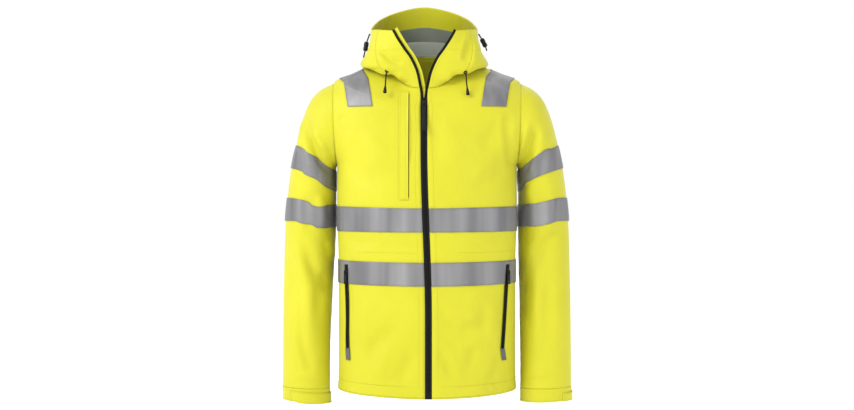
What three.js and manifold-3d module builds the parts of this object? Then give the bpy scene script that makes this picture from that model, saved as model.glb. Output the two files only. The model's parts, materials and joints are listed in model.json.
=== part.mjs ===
// Hooded hi-vis work jacket in its worn shape with nobody in it: fronts, back, set-in sleeves, a collar
// and hood in one, reflective tapes, front and pocket zips, drawcords and cuff tabs. Millimetres. +Z is
// up, -Y is the front, +X is the wearer's left. The origin is the centre of the neck, at the height of
// the neck's side points, where the wearer's shoulders carry the jacket.
import * as THREE from "three";
import { mergeVertices } from "three/addons/utils/BufferGeometryUtils.js";
import Module from "manifold-3d";

const { lerp, clamp, smoothstep, degToRad } = THREE.MathUtils;
const vec = (x, y, z) => new THREE.Vector3(x, y, z);

// The rows of a table under its column names.
const rowsOf = (names, rows) =>
  rows.map((row) => Object.fromEntries(row.map((value, i) => [names[i], value])));

// Driving sizes.
const WALL = 2; // shell cloth with its backing
const SEAM = 0.3; // gap between pieces that are sewn together
const TAPE = { wall: 1, lift: 0.35 };
const ZIP = {
  half: 7.4, wall: 1.4, sunk: 0.5, splitZ: -90, partingRate: 0.0055,
  lean: -6.5, leanDrop: 9.5, leanHeights: [200, 560], leanReach: [80, 170],
};
const HEM_BAND = { top: -708, step: -704, lift: 0.8 };
const CUFF_BAND = { lift: 0.7, wall: 2.6 };
const CUFF_TAB = { lift: 0.6, wall: 1.6, rows: [11.12, 11.45, 11.78], slant: 0.22, degreesPerColumn: 18 };
const FLAP = { from: 1, to: 12.5, lift: -2.8, wall: 1.3, station: 9.5 };
const RIM_BAND = { from: 4.6, lift: 0.8 };

// Colours as painted, from the photo.
const COLOUR = { yellow: 0xe9f02a, grey: 0x9a9a9e, black: 0x141416 };
const cloth = () => new THREE.MeshStandardMaterial({ color: COLOUR.yellow, roughness: 0.75, metalness: 0 });
const tapeCloth = () => new THREE.MeshStandardMaterial({ color: COLOUR.grey, roughness: 0.5, metalness: 0.3 });
const zipCloth = () => new THREE.MeshStandardMaterial({ color: COLOUR.black, roughness: 0.5, metalness: 0 });
const moulded = () => new THREE.MeshStandardMaterial({ color: COLOUR.black, roughness: 0.35, metalness: 0 });

// A row for each level of the torso, from the hem to the neck seam. at: the row's station. sideX, sideZ:
// its end on the side seam or the shoulder seam. midY: where it is widest. square: how boxy the oval is.
// rise: how late the row climbs from the centre to its end. Between the pit and the tip the armhole gives
// the row's end.
const TORSO_ROWS = rowsOf(
  ["at", "sideX", "sideZ", "midY", "frontY", "frontZ", "backY", "backZ", "square", "rise"],
  [
    [0, 195.5, -724, -6, -131, -733, 122, -742, 2.5, 1.6],
    [1, 194.5, -610, -8, -130, -612, 117, -612, 2.5, 1.6],
    [2, 194.5, -465, -11, -128, -469, 108, -466, 2.45, 1.6],
    [3, 197.5, -354, -10, -128, -356, 108, -356, 2.4, 1.6],
    [4, 199, -232, 1, -127, -248, 120, -240, 2.4, 1.6],
    [5, 200, -200, 1, -124, -205, 126, -190, 2.4, 1.6],
    [6, 202, -145, 1, -119, -170, 127, -145, 2.4, 1.6],
    [7, 204, -90, 1, -113, -142, 124, -105, 2.4, 1.6],
    [8, 206, -53, 1, -107, -122, 119, -74, 2.4, 1.6],
    [9, 163, -31.5, 4, -99, -104, 110, -43, 2.35, 1.9],
    [10, 118, -12.5, 6, -91, -86, 95, -12, 2.3, 2.6],
    [11, 76, 0, 8, -83, -70, 76, 15, 2.2, 3.4],
  ],
);
const PIT = 4;
const TIP = 8;
const NECK = 11;
// The armhole: a tilted oval from the shoulder tip to the armpit.
const ARMHOLE = { top: vec(206, 1, -53), pit: vec(199, 1, -232), front: 76, back: 78 };

// Heights of the belts of tape at the centre front.
const BELTS = [
  { name: "upper_belt", top: -329.5, bottom: -380 },
  { name: "lower_belt", top: -444.5, bottom: -494.5 },
];
// Corners of the short tape over the wearer's left shoulder, as (x, z); the right one is its mirror image.
const SHOULDER_TAPE = {
  front: [[116, -111], [170, -111], [190, -20], [138, 0]],
  back: [[118, -100], [170, -106], [190, -20], [138, 0]],
};

// A row for each ring of the sleeve: its outermost and innermost points, its half depths and its middle.
// Rings 4 to 5 and 6 to 7 carry the tapes, 11 is the cuff seam and 12 the cuff's edge.
const SLEEVE_ROWS = rowsOf(
  ["at", "outX", "outZ", "inX", "inZ", "front", "back", "midY"],
  [
    [0, 206, -53, 199, -232, 76, 78, 1],
    [1, 231, -64.5, 200.4, -233.6, 76, 78, 2],
    [2, 254, -85, 201.4, -236, 76, 77, 5],
    [3, 274, -126, 202.2, -239.5, 75, 76, 9],
    [4, 291.5, -190, 202.8, -246, 74, 75, 14],
    [5, 302.5, -240, 203.2, -292, 72, 73, 19],
    [6, 311.5, -306, 203.4, -321, 69, 70, 22],
    [7, 316, -357, 203.6, -370, 66, 68, 22],
    [8, 318, -430, 205.5, -434, 62, 65, 17],
    [9, 318.5, -540, 208, -540, 57, 59, 1],
    [10, 318, -640, 210, -640, 52, 53, -13],
    [11, 317, -718, 209.5, -722, 47, 48, -24],
    [12, 316, -746, 209, -751, 46, 47, -27],
  ],
);
const SLEEVE_TAPES = [
  { name: "upper_tape", top: 4, bottom: 5 },
  { name: "lower_tape", top: 6, bottom: 7 },
];
const CUFF_SEAM = 11;
const CUFF_EDGE = 12;
// The two sides differ a little: how far the wrist's inner side stands out, where the cuff's tab lies,
// and how far from the middle the hand pocket's zip starts and ends, and its end tab ends.
const SIDES = rowsOf(
  ["name", "sign", "wristIn", "tabFrom", "tabTo", "zipTop", "zipFoot", "zipTab"],
  [
    ["right", -1, 4, 54, 216, 172.5, 169.6, 168.1],
    ["left", 1, -4, -126, 54, 172.5, 160.5, 164.8],
  ],
);

// The hood with its collar, half of it: a row for each section from the front edge (at 0) past the
// shoulder seam (at 1) to the centre back (at 2). The section's points after the neck seam are the crest
// of the fold, the trough under it, the belly, the upper wall and the rim of the face opening.
const HOOD_ROWS = rowsOf(
  ["at", "crest", "trough", "belly", "upper", "rim"],
  [
    [0, [18, -89, -35], [31, -94, -7], [44, -95, 11], [60, -93, 36], [69, -88, 53]],
    [0.36, [49, -82, -54], [57, -90, -30], [67, -92, 0], [79, -86, 30], [85, -79, 55]],
    [0.66, [73, -57, -28], [89, -75, -40], [103, -80, -22], [108, -72, 22], [101, -64, 58]],
    [0.86, [86, -30, 1], [115, -46, -20], [135, -44, -21], [121, -38, 24], [113, -33, 62]],
    [1, [91, 12, 16], [122, 16, -8], [142, 14, -9], [122, 10, 30], [118, 8, 70]],
    [1.32, [69, 62, 37], [104, 98, -30], [137, 104, -12], [123, 92, 46], [105, 74, 97]],
    [1.66, [37, 82, 47], [60, 130, -62], [85, 160, -40], [92, 160, 42], [77, 130, 121]],
    [2, [0, 89, 50], [0, 143, -72], [0, 176, -46], [0, 180, 42], [0, 150, 141]],
  ],
);
const HOOD_LINES = ["crest", "trough", "belly", "upper", "rim"];
const HOOD_LEAN = -6;
const HOOD_PIECES = [
  { name: "collar_right", from: 0, to: 5 },
  { name: "hood_side_right", from: 5, to: 13 },
  { name: "hood_centre", from: 13, to: 19 },
  { name: "hood_side_left", from: 19, to: 27 },
  { name: "collar_left", from: 27, to: 32 },
];

// The main folds, seen from the front (face -1) or the back: a soft trough (negative depth) or a ridge.
const FOLDS = rowsOf(
  ["on", "side", "face", "from", "to", "width", "depth"],
  [
    ["sleeve", -1, -1, [-262, -110], [-205, -290], 19, -6],
    ["sleeve", -1, -1, [-290, -150], [-236, -310], 18, 4],
    ["sleeve", 1, -1, [238, -110], [212, -280], 18, -7],
    ["sleeve", 1, -1, [270, -140], [244, -310], 18, 4],
    ["sleeve", 1, -1, [205, -476], [262, -420], 18, -5],
    ["sleeve", -1, -1, [-206, -452], [-268, -400], 18, -4],
    ["sleeve", -1, 1, [-250, -120], [-206, -290], 19, -6],
    ["sleeve", 1, 1, [246, -120], [208, -280], 19, -6],
    ["sleeve", -1, 1, [-300, -404], [-232, -446], 18, -4],
    ["sleeve", 1, 1, [298, -398], [228, -440], 18, -4],
    ["torso", 1, -1, [58, -560], [108, -718], 20, -3.5],
    ["torso", 1, -1, [30, -470], [88, -640], 20, 3],
    ["torso", -1, -1, [-130, -560], [-110, -700], 20, -3],
    ["torso", -1, 1, [-150, -200], [-60, -330], 24, -5],
    ["torso", 1, 1, [150, -195], [64, -335], 24, -5],
    ["torso", 1, 1, [10, -520], [60, -700], 24, -4],
    ["torso", -1, 1, [-110, -540], [-70, -720], 24, -3.5],
  ],
);

// Zip sliders: where each sits as (x, z) on its surface, its size, and its pull's length, width and
// thickness.
const FRONT_SLIDER = { height: -107, body: [10.5, 19], pull: [66, 7.4, 1.6] };
const POCKET_SLIDER = { at: [-172, -464], body: [8, 14], pull: [27, 8.6, 1.5] };
// The bail over a slider's middle carries the pull's crossbar.
const BAIL = { width: 2.2, foot: 5.2, inside: 3.5, height: 5, crown: 3.8 };
const SLIDER_PLATE = 2.4;
const SLIDER_GAP = 0.4;
const PIVOT_OUT = SLIDER_PLATE + 1.9;
const CROSSBAR = 0.8;
const PULL_WINDOW = { half: 1.6, reach: 6.3, shoulder: 2.2 };
// The hand pockets' zips: their heights and width, and the grey tab on each lower end.
const POCKET_ZIP = { top: -450, foot: -632, half: 3.6, wall: 1.2 };
const POCKET_TAB = { length: 26, over: 3, half: 4.4, lift: 1.75, wall: 1.3 };
const CHEST_PLACKET = { left: -60, right: -39.5, top: -78, bottom: -311, wall: 1.3 };

// Drawcord routes: an exit as (turn, up) on the collar, and the steps by which the cord hangs from its
// bend.
const CORD = { radius: 1.5, sides: 8 };
const DRAWCORDS = [
  { side: "right", exit: [0.55, 2.3], hang: [[-1, -4, -10], [-1.6, -7.5, -20], [-2.2, -11, -31]] },
  { side: "left", exit: [3.38, 2.3], hang: [[0.6, -4, -10], [1.2, -7.5, -20], [2.4, -11, -31]] },
];
const CORD_END = { length: 15, neck: 2.1, bell: 3.9 };
const EYELET = { inner: 2.1, outer: 4.4, wall: 1.1, lift: 0.5 };
const SIDE_CORDS = [
  {
    side: "right", exit: [0.97, 4.7],
    hang: [[-4, -2.5, -6], [-8, -5, -18], [-10.5, -6.5, -32], [-15, -7, -52]],
  },
  {
    side: "left", exit: [3.03, 4.7],
    hang: [[4, -1, -4], [8, -1.3, -10], [12, -1.6, -18], [16, -2, -26], [19, -2, -36]],
  },
];
const CORD_LOCK = { length: 20, radius: 5.2, bore: 2.8, at: 0.55 };

// A smooth curve through one column of a table, with no overshoot between rows.
function columnOf(rows, pick) {
  const x = rows.map((row) => row.at);
  const y = rows.map(pick);
  const step = x.slice(1).map((end, i) => (y[i + 1] - y[i]) / (end - x[i]));
  const slope = y.map((_, i) => {
    if (i === 0) return step[0];
    if (i === y.length - 1) return step[i - 1];
    const [a, b] = [step[i - 1], step[i]];
    return a * b <= 0 ? 0 : (2 * a * b) / (a + b);
  });
  return (at) => {
    const i = clamp(x.findLastIndex((start) => start <= at), 0, x.length - 2);
    const h = x[i + 1] - x[i];
    const t = clamp((at - x[i]) / h, 0, 1);
    const [t2, t3] = [t * t, t * t * t];
    return (2 * t3 - 3 * t2 + 1) * y[i] + (t3 - 2 * t2 + t) * h * slope[i]
      + (3 * t2 - 2 * t3) * y[i + 1] + (t3 - t2) * h * slope[i + 1];
  };
}

// Every numeric column of a table as one function that gives a whole row at any station.
function tableOf(rows) {
  const columns = Object.keys(rows[0]).map((name) => [name, columnOf(rows, (row) => row[name])]);
  return (at) => Object.fromEntries(columns.map(([name, column]) => [name, column(at)]));
}

const torsoTable = tableOf(TORSO_ROWS);
const sleeveTable = tableOf(SLEEVE_ROWS);

// How far the centre front line stands off the middle at height z, and how far the zip's halves have
// parted.
const leanAt = (z) => ZIP.lean + ZIP.leanDrop * smoothstep(-z, ...ZIP.leanHeights);
const partingAt = (z) => (z > ZIP.splitZ ? ZIP.partingRate * (z - ZIP.splitZ) ** 2 : 0);

// The angle round the armhole, and round a sleeve, that meets a torso row: 0 at the tip, 180 degrees at
// the pit.
const armholeAngle = (at) => Math.PI * (1 - (at - PIT) / (TIP - PIT));

function armholePoint(face, angle) {
  const share = (1 + Math.cos(angle)) / 2;
  const reach = face < 0 ? ARMHOLE.front : ARMHOLE.back;
  return ARMHOLE.pit.clone().lerp(ARMHOLE.top, share).add(vec(0, face * reach * Math.sin(angle), 0));
}

// The torso without its folds. s: 0 at the centre line, 1 or -1 at the row's end; at: the row's station.
function torsoPoint(face, s, at) {
  const row = torsoTable(at);
  const atArmhole = at > PIT && at < TIP;
  const end = atArmhole ? armholePoint(face, armholeAngle(at)) : vec(row.sideX, row.midY, row.sideZ);
  const depth = Math.abs((face < 0 ? row.frontY : row.backY) - row.midY);
  const turn = clamp(Math.abs(end.y - row.midY) / depth, 0, 0.99);
  const halfWidth = end.x / (1 - turn ** row.square) ** (1 / row.square);
  const centreZ = face < 0 ? row.frontZ : row.backZ;
  const start = face < 0 ? ZIP.half + partingAt(centreZ) : 0;
  const angleOf = (x) => Math.asin(clamp(x / halfWidth, 0, 1) ** (row.square / 2));
  const angle = lerp(angleOf(start), angleOf(end.x), Math.abs(s));
  const x = halfWidth * Math.sin(angle) ** (2 / row.square);
  const y = row.midY + face * depth * Math.max(Math.cos(angle), 0) ** (2 / row.square);
  const z = lerp(centreZ, end.z, clamp(x / end.x, 0, 1) ** row.rise);
  const lean = leanAt(z) * (1 - smoothstep(x, ...ZIP.leanReach)) * (face < 0 || at > TIP ? 1 : 0);
  return vec((s < 0 ? -1 : 1) * x + lean, y, z);
}

// The sleeve without its folds. angle: 0 at the outermost point, 90 degrees in front; at: the ring's
// station.
function sleevePoint(side, angle, at) {
  const ring = sleeveTable(at);
  const inX = ring.inX + side.wristIn * smoothstep(at, 7, 10);
  const [c, s] = [Math.cos(angle), Math.sin(angle)];
  return vec(
    side.sign * lerp(inX, ring.outX, (1 + c) / 2),
    ring.midY - s * (s > 0 ? ring.front : ring.back),
    lerp(ring.inZ, ring.outZ, (1 + c) / 2),
  );
}

// The whole hood's lines, each as columns of x, y and z from the wearer's right front edge round to the
// left one.
const hoodRows = [
  ...HOOD_ROWS.map((row) => ({ ...row, hand: -1 })),
  ...HOOD_ROWS.slice(0, -1).reverse().map((row) => ({ ...row, at: 4 - row.at, hand: 1 })),
];
const hoodLines = HOOD_LINES.map((line) => [
  columnOf(hoodRows, (row) => row.hand * row[line][0] + HOOD_LEAN),
  columnOf(hoodRows, (row) => row[line][1]),
  columnOf(hoodRows, (row) => row[line][2]),
]);
const HOOD_TURN = 4;
const NEAR_EDGE = 1e-6;
const HOOD_RIM = HOOD_LINES.length;

// Where the neck seam lies on the torso at a turn of the hood: 0 and 4 are its front edges, 1 and 3 the
// shoulders.
function neckPlace(turn) {
  const onFront = turn < 1 || turn > HOOD_TURN - 1;
  const hand = turn < HOOD_TURN / 2 ? -1 : 1;
  const fromEdge = Math.max(hand < 0 ? turn : HOOD_TURN - turn, NEAR_EDGE);
  return { face: onFront ? -1 : 1, hand, s: onFront ? hand * fromEdge : turn - HOOD_TURN / 2 };
}

// The hood. turn: as above; up: 0 at the neck seam, 5 at the rim.
function hoodPoint(turn, up) {
  const { face, s } = neckPlace(turn);
  const seam = torsoPoint(face, s, NECK);
  const points = [seam, ...hoodLines.map((line) => vec(...line.map((column) => column(turn))))];
  const section = new THREE.CatmullRomCurve3(points, false, "centripetal");
  return section.getPoint(clamp(up / HOOD_RIM, 0, 1));
}

// How far the folds move a point of the torso or a sleeve along its normal.
function foldAt(on, side, face, p) {
  const here = FOLDS.filter((fold) => fold.on === on && fold.side === side && fold.face === face);
  return here.reduce((sum, fold) => {
    const [ax, az] = fold.from;
    const [bx, bz] = fold.to;
    const length = Math.hypot(bx - ax, bz - az);
    const along = ((p.x - ax) * (bx - ax) + (p.z - az) * (bz - az)) / length ** 2;
    const off = ((p.x - ax) * (bz - az) - (p.z - az) * (bx - ax)) / length;
    const fade = smoothstep(along, -0.15, 0.3) * (1 - smoothstep(along, 0.7, 1.15));
    return sum + fold.depth * Math.exp(-((off / fold.width) ** 2)) * fade;
  }, 0);
}

// A point's normal by small steps along both ways of a surface.
function normalOf(point, outward, limits, a, b) {
  const small = 1e-3;
  const [lowA, highA, lowB, highB] = limits;
  const alongA = point(Math.min(a + small, highA), b).sub(point(Math.max(a - small, lowA), b));
  const alongB = point(a, Math.min(b + small, highB)).sub(point(a, Math.max(b - small, lowB)));
  return alongA.cross(alongB).multiplyScalar(outward).normalize();
}

const torsoNormal = (face, side, s, at) => {
  const limits = face < 0 ? (side < 0 ? [-1, -NEAR_EDGE, 0, NECK] : [0, 1, 0, NECK]) : [-1, 1, 0, NECK];
  return normalOf((a, b) => torsoPoint(face, a, b), -face, limits, s, at);
};
const sleeveNormal = (side, angle, at) =>
  normalOf((a, b) => sleevePoint(side, a, b), side.sign, [-Infinity, Infinity, 0, CUFF_EDGE], angle, at);
const hoodNormal = (turn, up) => normalOf(hoodPoint, -1, [0, HOOD_TURN, 0, HOOD_RIM], turn, up);
const mitre = (a, b) => a.clone().add(b).normalize();

// A surface gives, at (a, b), its point, its outward normal and its fold. Pieces that meet at a seam
// share the normal there, so that their walls meet like a mitre.
const torsoSurface = (face, side) => (s, at) => {
  const p = torsoPoint(face, side < 0 && s === 0 ? -NEAR_EDGE : s, at);
  const hand = s < 0 || (s === 0 && side < 0) ? SIDES[0] : SIDES[1];
  let normal = torsoNormal(face, side, side < 0 && s === 0 ? -NEAR_EDGE : s, at);
  if (at === NECK) {
    const turn = face > 0 ? 2 + s : hand.sign < 0 ? -s : 4 - s;
    normal = mitre(normal, hoodNormal(turn, 0));
  } else if (Math.abs(s) === 1 && at >= PIT && at <= TIP) {
    normal = mitre(normal, sleeveNormal(hand, -face * armholeAngle(at), 0));
  }
  const edgeFade = 1 - smoothstep(Math.abs(s), 0.8, 0.98);
  return { p, normal, fold: edgeFade * foldAt("torso", hand.sign, face, p) };
};
const sleeveSurface = (side) => (angle, at) => {
  const p = sleevePoint(side, angle, at);
  let normal = sleeveNormal(side, angle, at);
  const turned = Math.atan2(Math.sin(angle), Math.cos(angle));
  if (at === 0) {
    const face = turned >= 0 ? -1 : 1;
    const row = TIP - (Math.abs(turned) / Math.PI) * (TIP - PIT);
    normal = mitre(normal, torsoNormal(face, side.sign, side.sign, row));
  }
  const face = turned >= 0 ? -1 : 1;
  const seamFade = smoothstep(Math.abs(Math.sin(angle)), 0, 0.45);
  const endFade = smoothstep(at, 0, 2) * (1 - smoothstep(at, 10, 11));
  return { p, normal, fold: seamFade * endFade * foldAt("sleeve", side.sign, face, p) };
};
const hoodSurface = (turn, up) => {
  const p = hoodPoint(turn, up);
  let normal = hoodNormal(turn, up);
  if (up === 0) {
    const { face, hand, s } = neckPlace(turn);
    normal = mitre(normal, torsoNormal(face, hand, s, NECK));
  }
  return { p, normal, fold: 0 };
};

// A closed body from rings of corner points: its faces are turned outwards by the sign of its volume.
function bodyOf(corners, faces) {
  const volume = faces.reduce((sum, [a, b, c]) =>
    sum + corners[a].dot(corners[b].clone().cross(corners[c])), 0);
  const geometry = new THREE.BufferGeometry();
  geometry.setAttribute("position", new THREE.Float32BufferAttribute(corners.flatMap((p) => p.toArray()), 3));
  geometry.setIndex((volume > 0 ? faces : faces.map(([a, b, c]) => [a, c, b])).flat());
  geometry.computeVertexNormals();
  return geometry;
}

// One edge of a grid, given with the line of points beside it, drawn back square to itself by half a seam.
function drawnBack(edge, beside, loop) {
  const last = edge.length - 1;
  return edge.map((p, i) => {
    const before = edge[i > 0 ? i - 1 : loop ? last : 0];
    const after = edge[i < last ? i + 1 : loop ? 0 : last];
    const along = after.clone().sub(before).normalize();
    const way = beside[i].clone().sub(p);
    way.addScaledVector(along, -way.dot(along));
    return p.clone().add(way.setLength(SEAM / 2));
  });
}

// All edges of a grid of points drawn back, so that two pieces that share a line stay apart.
function drawBack(grid, loop) {
  const last = grid.length - 1;
  const first = drawnBack(grid[0], grid[1], loop);
  const end = drawnBack(grid[last], grid[last - 1], loop);
  const rows = [first, ...grid.slice(1, -1), end];
  if (loop) return rows;
  const column = (i) => rows.map((row) => row.at(i));
  const start = drawnBack(column(0), column(1), false);
  const finish = drawnBack(column(-1), column(-2), false);
  return rows.map((row, j) => [start[j], ...row.slice(1, -1), finish[j]]);
}

// A closed wall on a surface between two lifts, on a grid of stations; loop joins the last column to the
// first.
function wallOn(surface, as, bs, outer, wall, loop = false) {
  const layerAt = (extra) => drawBack(bs.map((b) => as.map((a) => {
    const { p, normal, fold } = surface(a, b);
    const lift = typeof outer === "function" ? outer(a, b) : outer;
    return p.clone().addScaledVector(normal, fold + (extra === 0 ? lift : Math.min(lift, extra)));
  })), loop);
  const innerLift = typeof outer === "function" ? -wall : outer - wall;
  const corners = [...layerAt(0).flat(), ...layerAt(innerLift).flat()];
  const [wide, high] = [as.length, bs.length];
  const half = wide * high;
  const faces = [];
  const quad = (a, b, c, d) => faces.push([a, b, c], [a, c, d]);
  // Across a rim the shorter diagonal is taken, so that two rims that face each other are split alike.
  const rim = (a, b) => {
    const crossed = corners[a].distanceTo(corners[b + half]) < corners[b].distanceTo(corners[a + half]);
    if (crossed) quad(a, b, b + half, a + half);
    else quad(b, b + half, a + half, a);
  };
  const columns = loop ? wide : wide - 1;
  for (let i = 0; i < columns; i += 1) {
    const n = (i + 1) % wide;
    for (let j = 0; j < high - 1; j += 1) {
      const [a, b, c, d] = [j * wide + i, j * wide + n, (j + 1) * wide + n, (j + 1) * wide + i];
      quad(a, b, c, d);
      quad(a + half, d + half, c + half, b + half);
    }
    const top = (high - 1) * wide;
    rim(n, i);
    rim(top + i, top + n);
  }
  for (let j = 0; !loop && j < high - 1; j += 1) {
    const [left, above] = [j * wide, (j + 1) * wide];
    rim(left, above);
    rim(above + wide - 1, left + wide - 1);
  }
  return bodyOf(corners, faces);
}

// Joins and cuts of closed geometries.
const wasm = await Module();
wasm.setup();

function solidOf(geometry) {
  const bare = geometry.clone();
  bare.deleteAttribute("normal");
  bare.deleteAttribute("uv");
  const merged = mergeVertices(bare, 1e-4);
  return new wasm.Manifold(new wasm.Mesh({
    numProp: 3,
    vertProperties: new Float32Array(merged.attributes.position.array),
    triVerts: new Uint32Array(merged.index.array),
  }));
}

function geometryOf(solid) {
  const mesh = solid.getMesh();
  const geometry = new THREE.BufferGeometry();
  geometry.setAttribute("position", new THREE.Float32BufferAttribute(mesh.vertProperties, 3));
  geometry.setIndex([...mesh.triVerts]);
  geometry.computeVertexNormals();
  return geometry;
}

const shared = (a, b) => geometryOf(solidOf(a).intersect(solidOf(b)));
const without = (a, b) => geometryOf(solidOf(a).subtract(solidOf(b)));
const joined = (a, b) => geometryOf(solidOf(a).add(solidOf(b)));

// An outline of (x, z) points drawn out along Y through the front half or the back half of the jacket.
const PRISM_REACH = 260;
function outlinePrism(points, face) {
  const shape = new THREE.Shape(points.map(([x, z]) => new THREE.Vector2(x, z)));
  const prism = new THREE.ExtrudeGeometry(shape, { depth: PRISM_REACH, bevelEnabled: false });
  return prism.rotateX(Math.PI / 2).translate(0, face < 0 ? 0 : PRISM_REACH, 0);
}

// The strip of (x, z) outline round a line, as wide as 2 x half, and longer by extra at both ends.
function stripOutline([ax, az], [bx, bz], half, extra = 0) {
  const length = Math.hypot(bx - ax, bz - az);
  const [ux, uz] = [(bx - ax) / length, (bz - az) / length];
  const corner = (x, z, end, hand) => {
    const [along, across] = [end * extra, hand * half];
    return [x + along * ux - across * uz, z + along * uz + across * ux];
  };
  return [corner(ax, az, -1, -1), corner(bx, bz, 1, -1), corner(bx, bz, 1, 1), corner(ax, az, -1, 1)];
}

const jacket = new THREE.Group();
function add(name, geometry, material) {
  const mesh = new THREE.Mesh(geometry, material);
  mesh.name = name;
  jacket.add(mesh);
  return mesh;
}

const steps = (from, to, count) => Array.from({ length: count + 1 }, (_, i) => lerp(from, to, i / count));

// The torso station whose centre front lies at height z.
function stationAt(z) {
  let [low, high] = [0, NECK];
  for (let i = 0; i < 40; i += 1) {
    const middle = (low + high) / 2;
    if (torsoTable(middle).frontZ < z) low = middle;
    else high = middle;
  }
  return low;
}

// Grids: all pieces on one surface use these stations, so that a tape's facets run beside its panel's
// facets.
const FRONT_COLUMNS = 8;
const belts = BELTS.map((belt) => ({ ...belt, from: stationAt(belt.bottom), to: stationAt(belt.top) }));
const hemTop = stationAt(HEM_BAND.top);
const beltStations = belts.flatMap((belt) => [belt.from, belt.to]).sort((a, b) => a - b);
const torsoStations = [
  0, hemTop, stationAt(HEM_BAND.step), 0.62, 1.05, 1.45, ...beltStations.slice(0, 2), 2.5,
  ...beltStations.slice(2), 3.6, ...steps(PIT, TIP, 10), 8.5, 9, 9.5, 10, 10.5, NECK,
];
const roundAngles = steps(0, 2 * Math.PI, 20).slice(0, -1);
const hoodUps = [...steps(0, 3, 8), ...steps(3, RIM_BAND.from, 3).slice(1), 4.65, HOOD_RIM];
const sleeveStations = [0, 0.5, 1, 1.5, 2, 3, 4, 5, 5.5, 6, 7, 7.6, 8.3, 9.2, 10.1, CUFF_SEAM];

// Fronts, back and the belts on them.
const frontColumns = (sign) => (sign < 0 ? steps(-1, 0, FRONT_COLUMNS) : steps(0, 1, FRONT_COLUMNS));
const PANELS = [
  { name: "front_right", face: -1, side: -1, columns: frontColumns(-1) },
  { name: "front_left", face: -1, side: 1, columns: frontColumns(1) },
  { name: "back", face: 1, side: 0, columns: steps(-1, 1, 2 * FRONT_COLUMNS) },
];
const hemLift = (s, at) => (at <= hemTop ? HEM_BAND.lift : 0);
const pocketLine = (side) => [
  [side.sign * side.zipTop, POCKET_ZIP.top],
  [side.sign * side.zipFoot, POCKET_ZIP.foot],
];
const tapeOuter = TAPE.lift + TAPE.wall;
for (const panel of PANELS) {
  const surface = torsoSurface(panel.face, panel.side);
  add(panel.name, wallOn(surface, panel.columns, torsoStations, hemLift, WALL), cloth());
  for (const belt of belts) {
    let band = wallOn(surface, panel.columns, [belt.from, belt.to], tapeOuter, TAPE.wall);
    if (belt.name === "lower_belt" && panel.face < 0) {
      const side = SIDES.find((one) => one.sign === panel.side);
      const slot = stripOutline(...pocketLine(side), POCKET_ZIP.half + SEAM, SEAM);
      band = without(band, outlinePrism(slot, -1));
    }
    add(`${belt.name}_${panel.name}`, band, tapeCloth());
  }
}

// The short tapes over the shoulders, cut from a layer over the panels.
const shoulderStations = torsoStations.filter((at) => at >= 6);
for (const side of SIDES) {
  for (const [name, face] of [["front", -1], ["back", 1]]) {
    const surface = torsoSurface(face, face < 0 ? side.sign : 0);
    const layer = wallOn(surface, frontColumns(side.sign), shoulderStations, tapeOuter, TAPE.wall);
    const outline = SHOULDER_TAPE[name].map(([x, z]) => [side.sign * x, z]);
    add(`shoulder_tape_${name}_${side.name}`, shared(layer, outlinePrism(outline, face)), tapeCloth());
  }
}

// Sleeves with their tapes, cuff bands and cuff tabs.
for (const side of SIDES) {
  const surface = sleeveSurface(side);
  add(`sleeve_${side.name}`, wallOn(surface, roundAngles, sleeveStations, 0, WALL, true), cloth());
  for (const tape of SLEEVE_TAPES) {
    const rows = sleeveStations.filter((at) => at >= tape.top && at <= tape.bottom);
    const band = wallOn(surface, roundAngles, rows, tapeOuter, TAPE.wall, true);
    add(`sleeve_${tape.name}_${side.name}`, band, tapeCloth());
  }
  const cuffRows = steps(CUFF_SEAM, CUFF_EDGE, 2);
  const cuff = wallOn(surface, roundAngles, cuffRows, CUFF_BAND.lift, CUFF_BAND.wall, true);
  add(`cuff_band_${side.name}`, cuff, cloth());
  const tabColumns = (side.tabTo - side.tabFrom) / CUFF_TAB.degreesPerColumn;
  const tabAngles = steps(degToRad(side.tabFrom), degToRad(side.tabTo), tabColumns);
  const slant = (angle, at) => at + CUFF_TAB.slant * Math.sin((angle - tabAngles[0]) / 2);
  const tabSurface = (angle, at) => surface(angle, Math.min(slant(angle, at), CUFF_EDGE - 0.02));
  const tabOuter = CUFF_BAND.lift + CUFF_TAB.lift + CUFF_TAB.wall;
  const tab = wallOn(tabSurface, tabAngles, CUFF_TAB.rows, tabOuter, CUFF_TAB.wall);
  add(`cuff_tab_${side.name}`, tab, cloth());
}

// Collar and hood in five pieces, with a thicker band round the face opening.
const rimLift = (turn, up) => (up > RIM_BAND.from ? RIM_BAND.lift : 0);
for (const piece of HOOD_PIECES) {
  const turns = steps(piece.from / 8, piece.to / 8, piece.to - piece.from);
  add(piece.name, wallOn(hoodSurface, turns, hoodUps, rimLift, WALL), cloth());
}

// The front edge from the hem (0) past the neck (11) to the hood's rim (16), and the way across to the
// other half.
const EDGE_STEP = 0.02;
function frontEdge(sign, at) {
  const pointAt = (step, station) => {
    if (station > NECK) return hoodPoint(sign < 0 ? step : HOOD_TURN - step, station - NECK);
    return torsoPoint(-1, sign * Math.max(step, NEAR_EDGE), station);
  };
  const p = pointAt(0, at);
  const ahead = pointAt(0, Math.min(at + EDGE_STEP, NECK + HOOD_RIM));
  const along = ahead.sub(pointAt(0, Math.max(at - EDGE_STEP, 0))).normalize();
  const across = p.clone().sub(pointAt(EDGE_STEP, at));
  across.addScaledVector(along, -across.dot(along)).normalize();
  const normal = across.clone().cross(along).multiplyScalar(-sign).normalize();
  return { p, across, normal };
}
const edgeSurface = (sign) => (out, at) => {
  const { p, across, normal } = frontEdge(sign, at);
  return { p: p.addScaledVector(across, out), normal: normal.y < 0 ? normal : normal.negate(), fold: 0 };
};
const edgeStations = [...torsoStations, ...hoodUps.slice(1).map((up) => NECK + up)];
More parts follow.
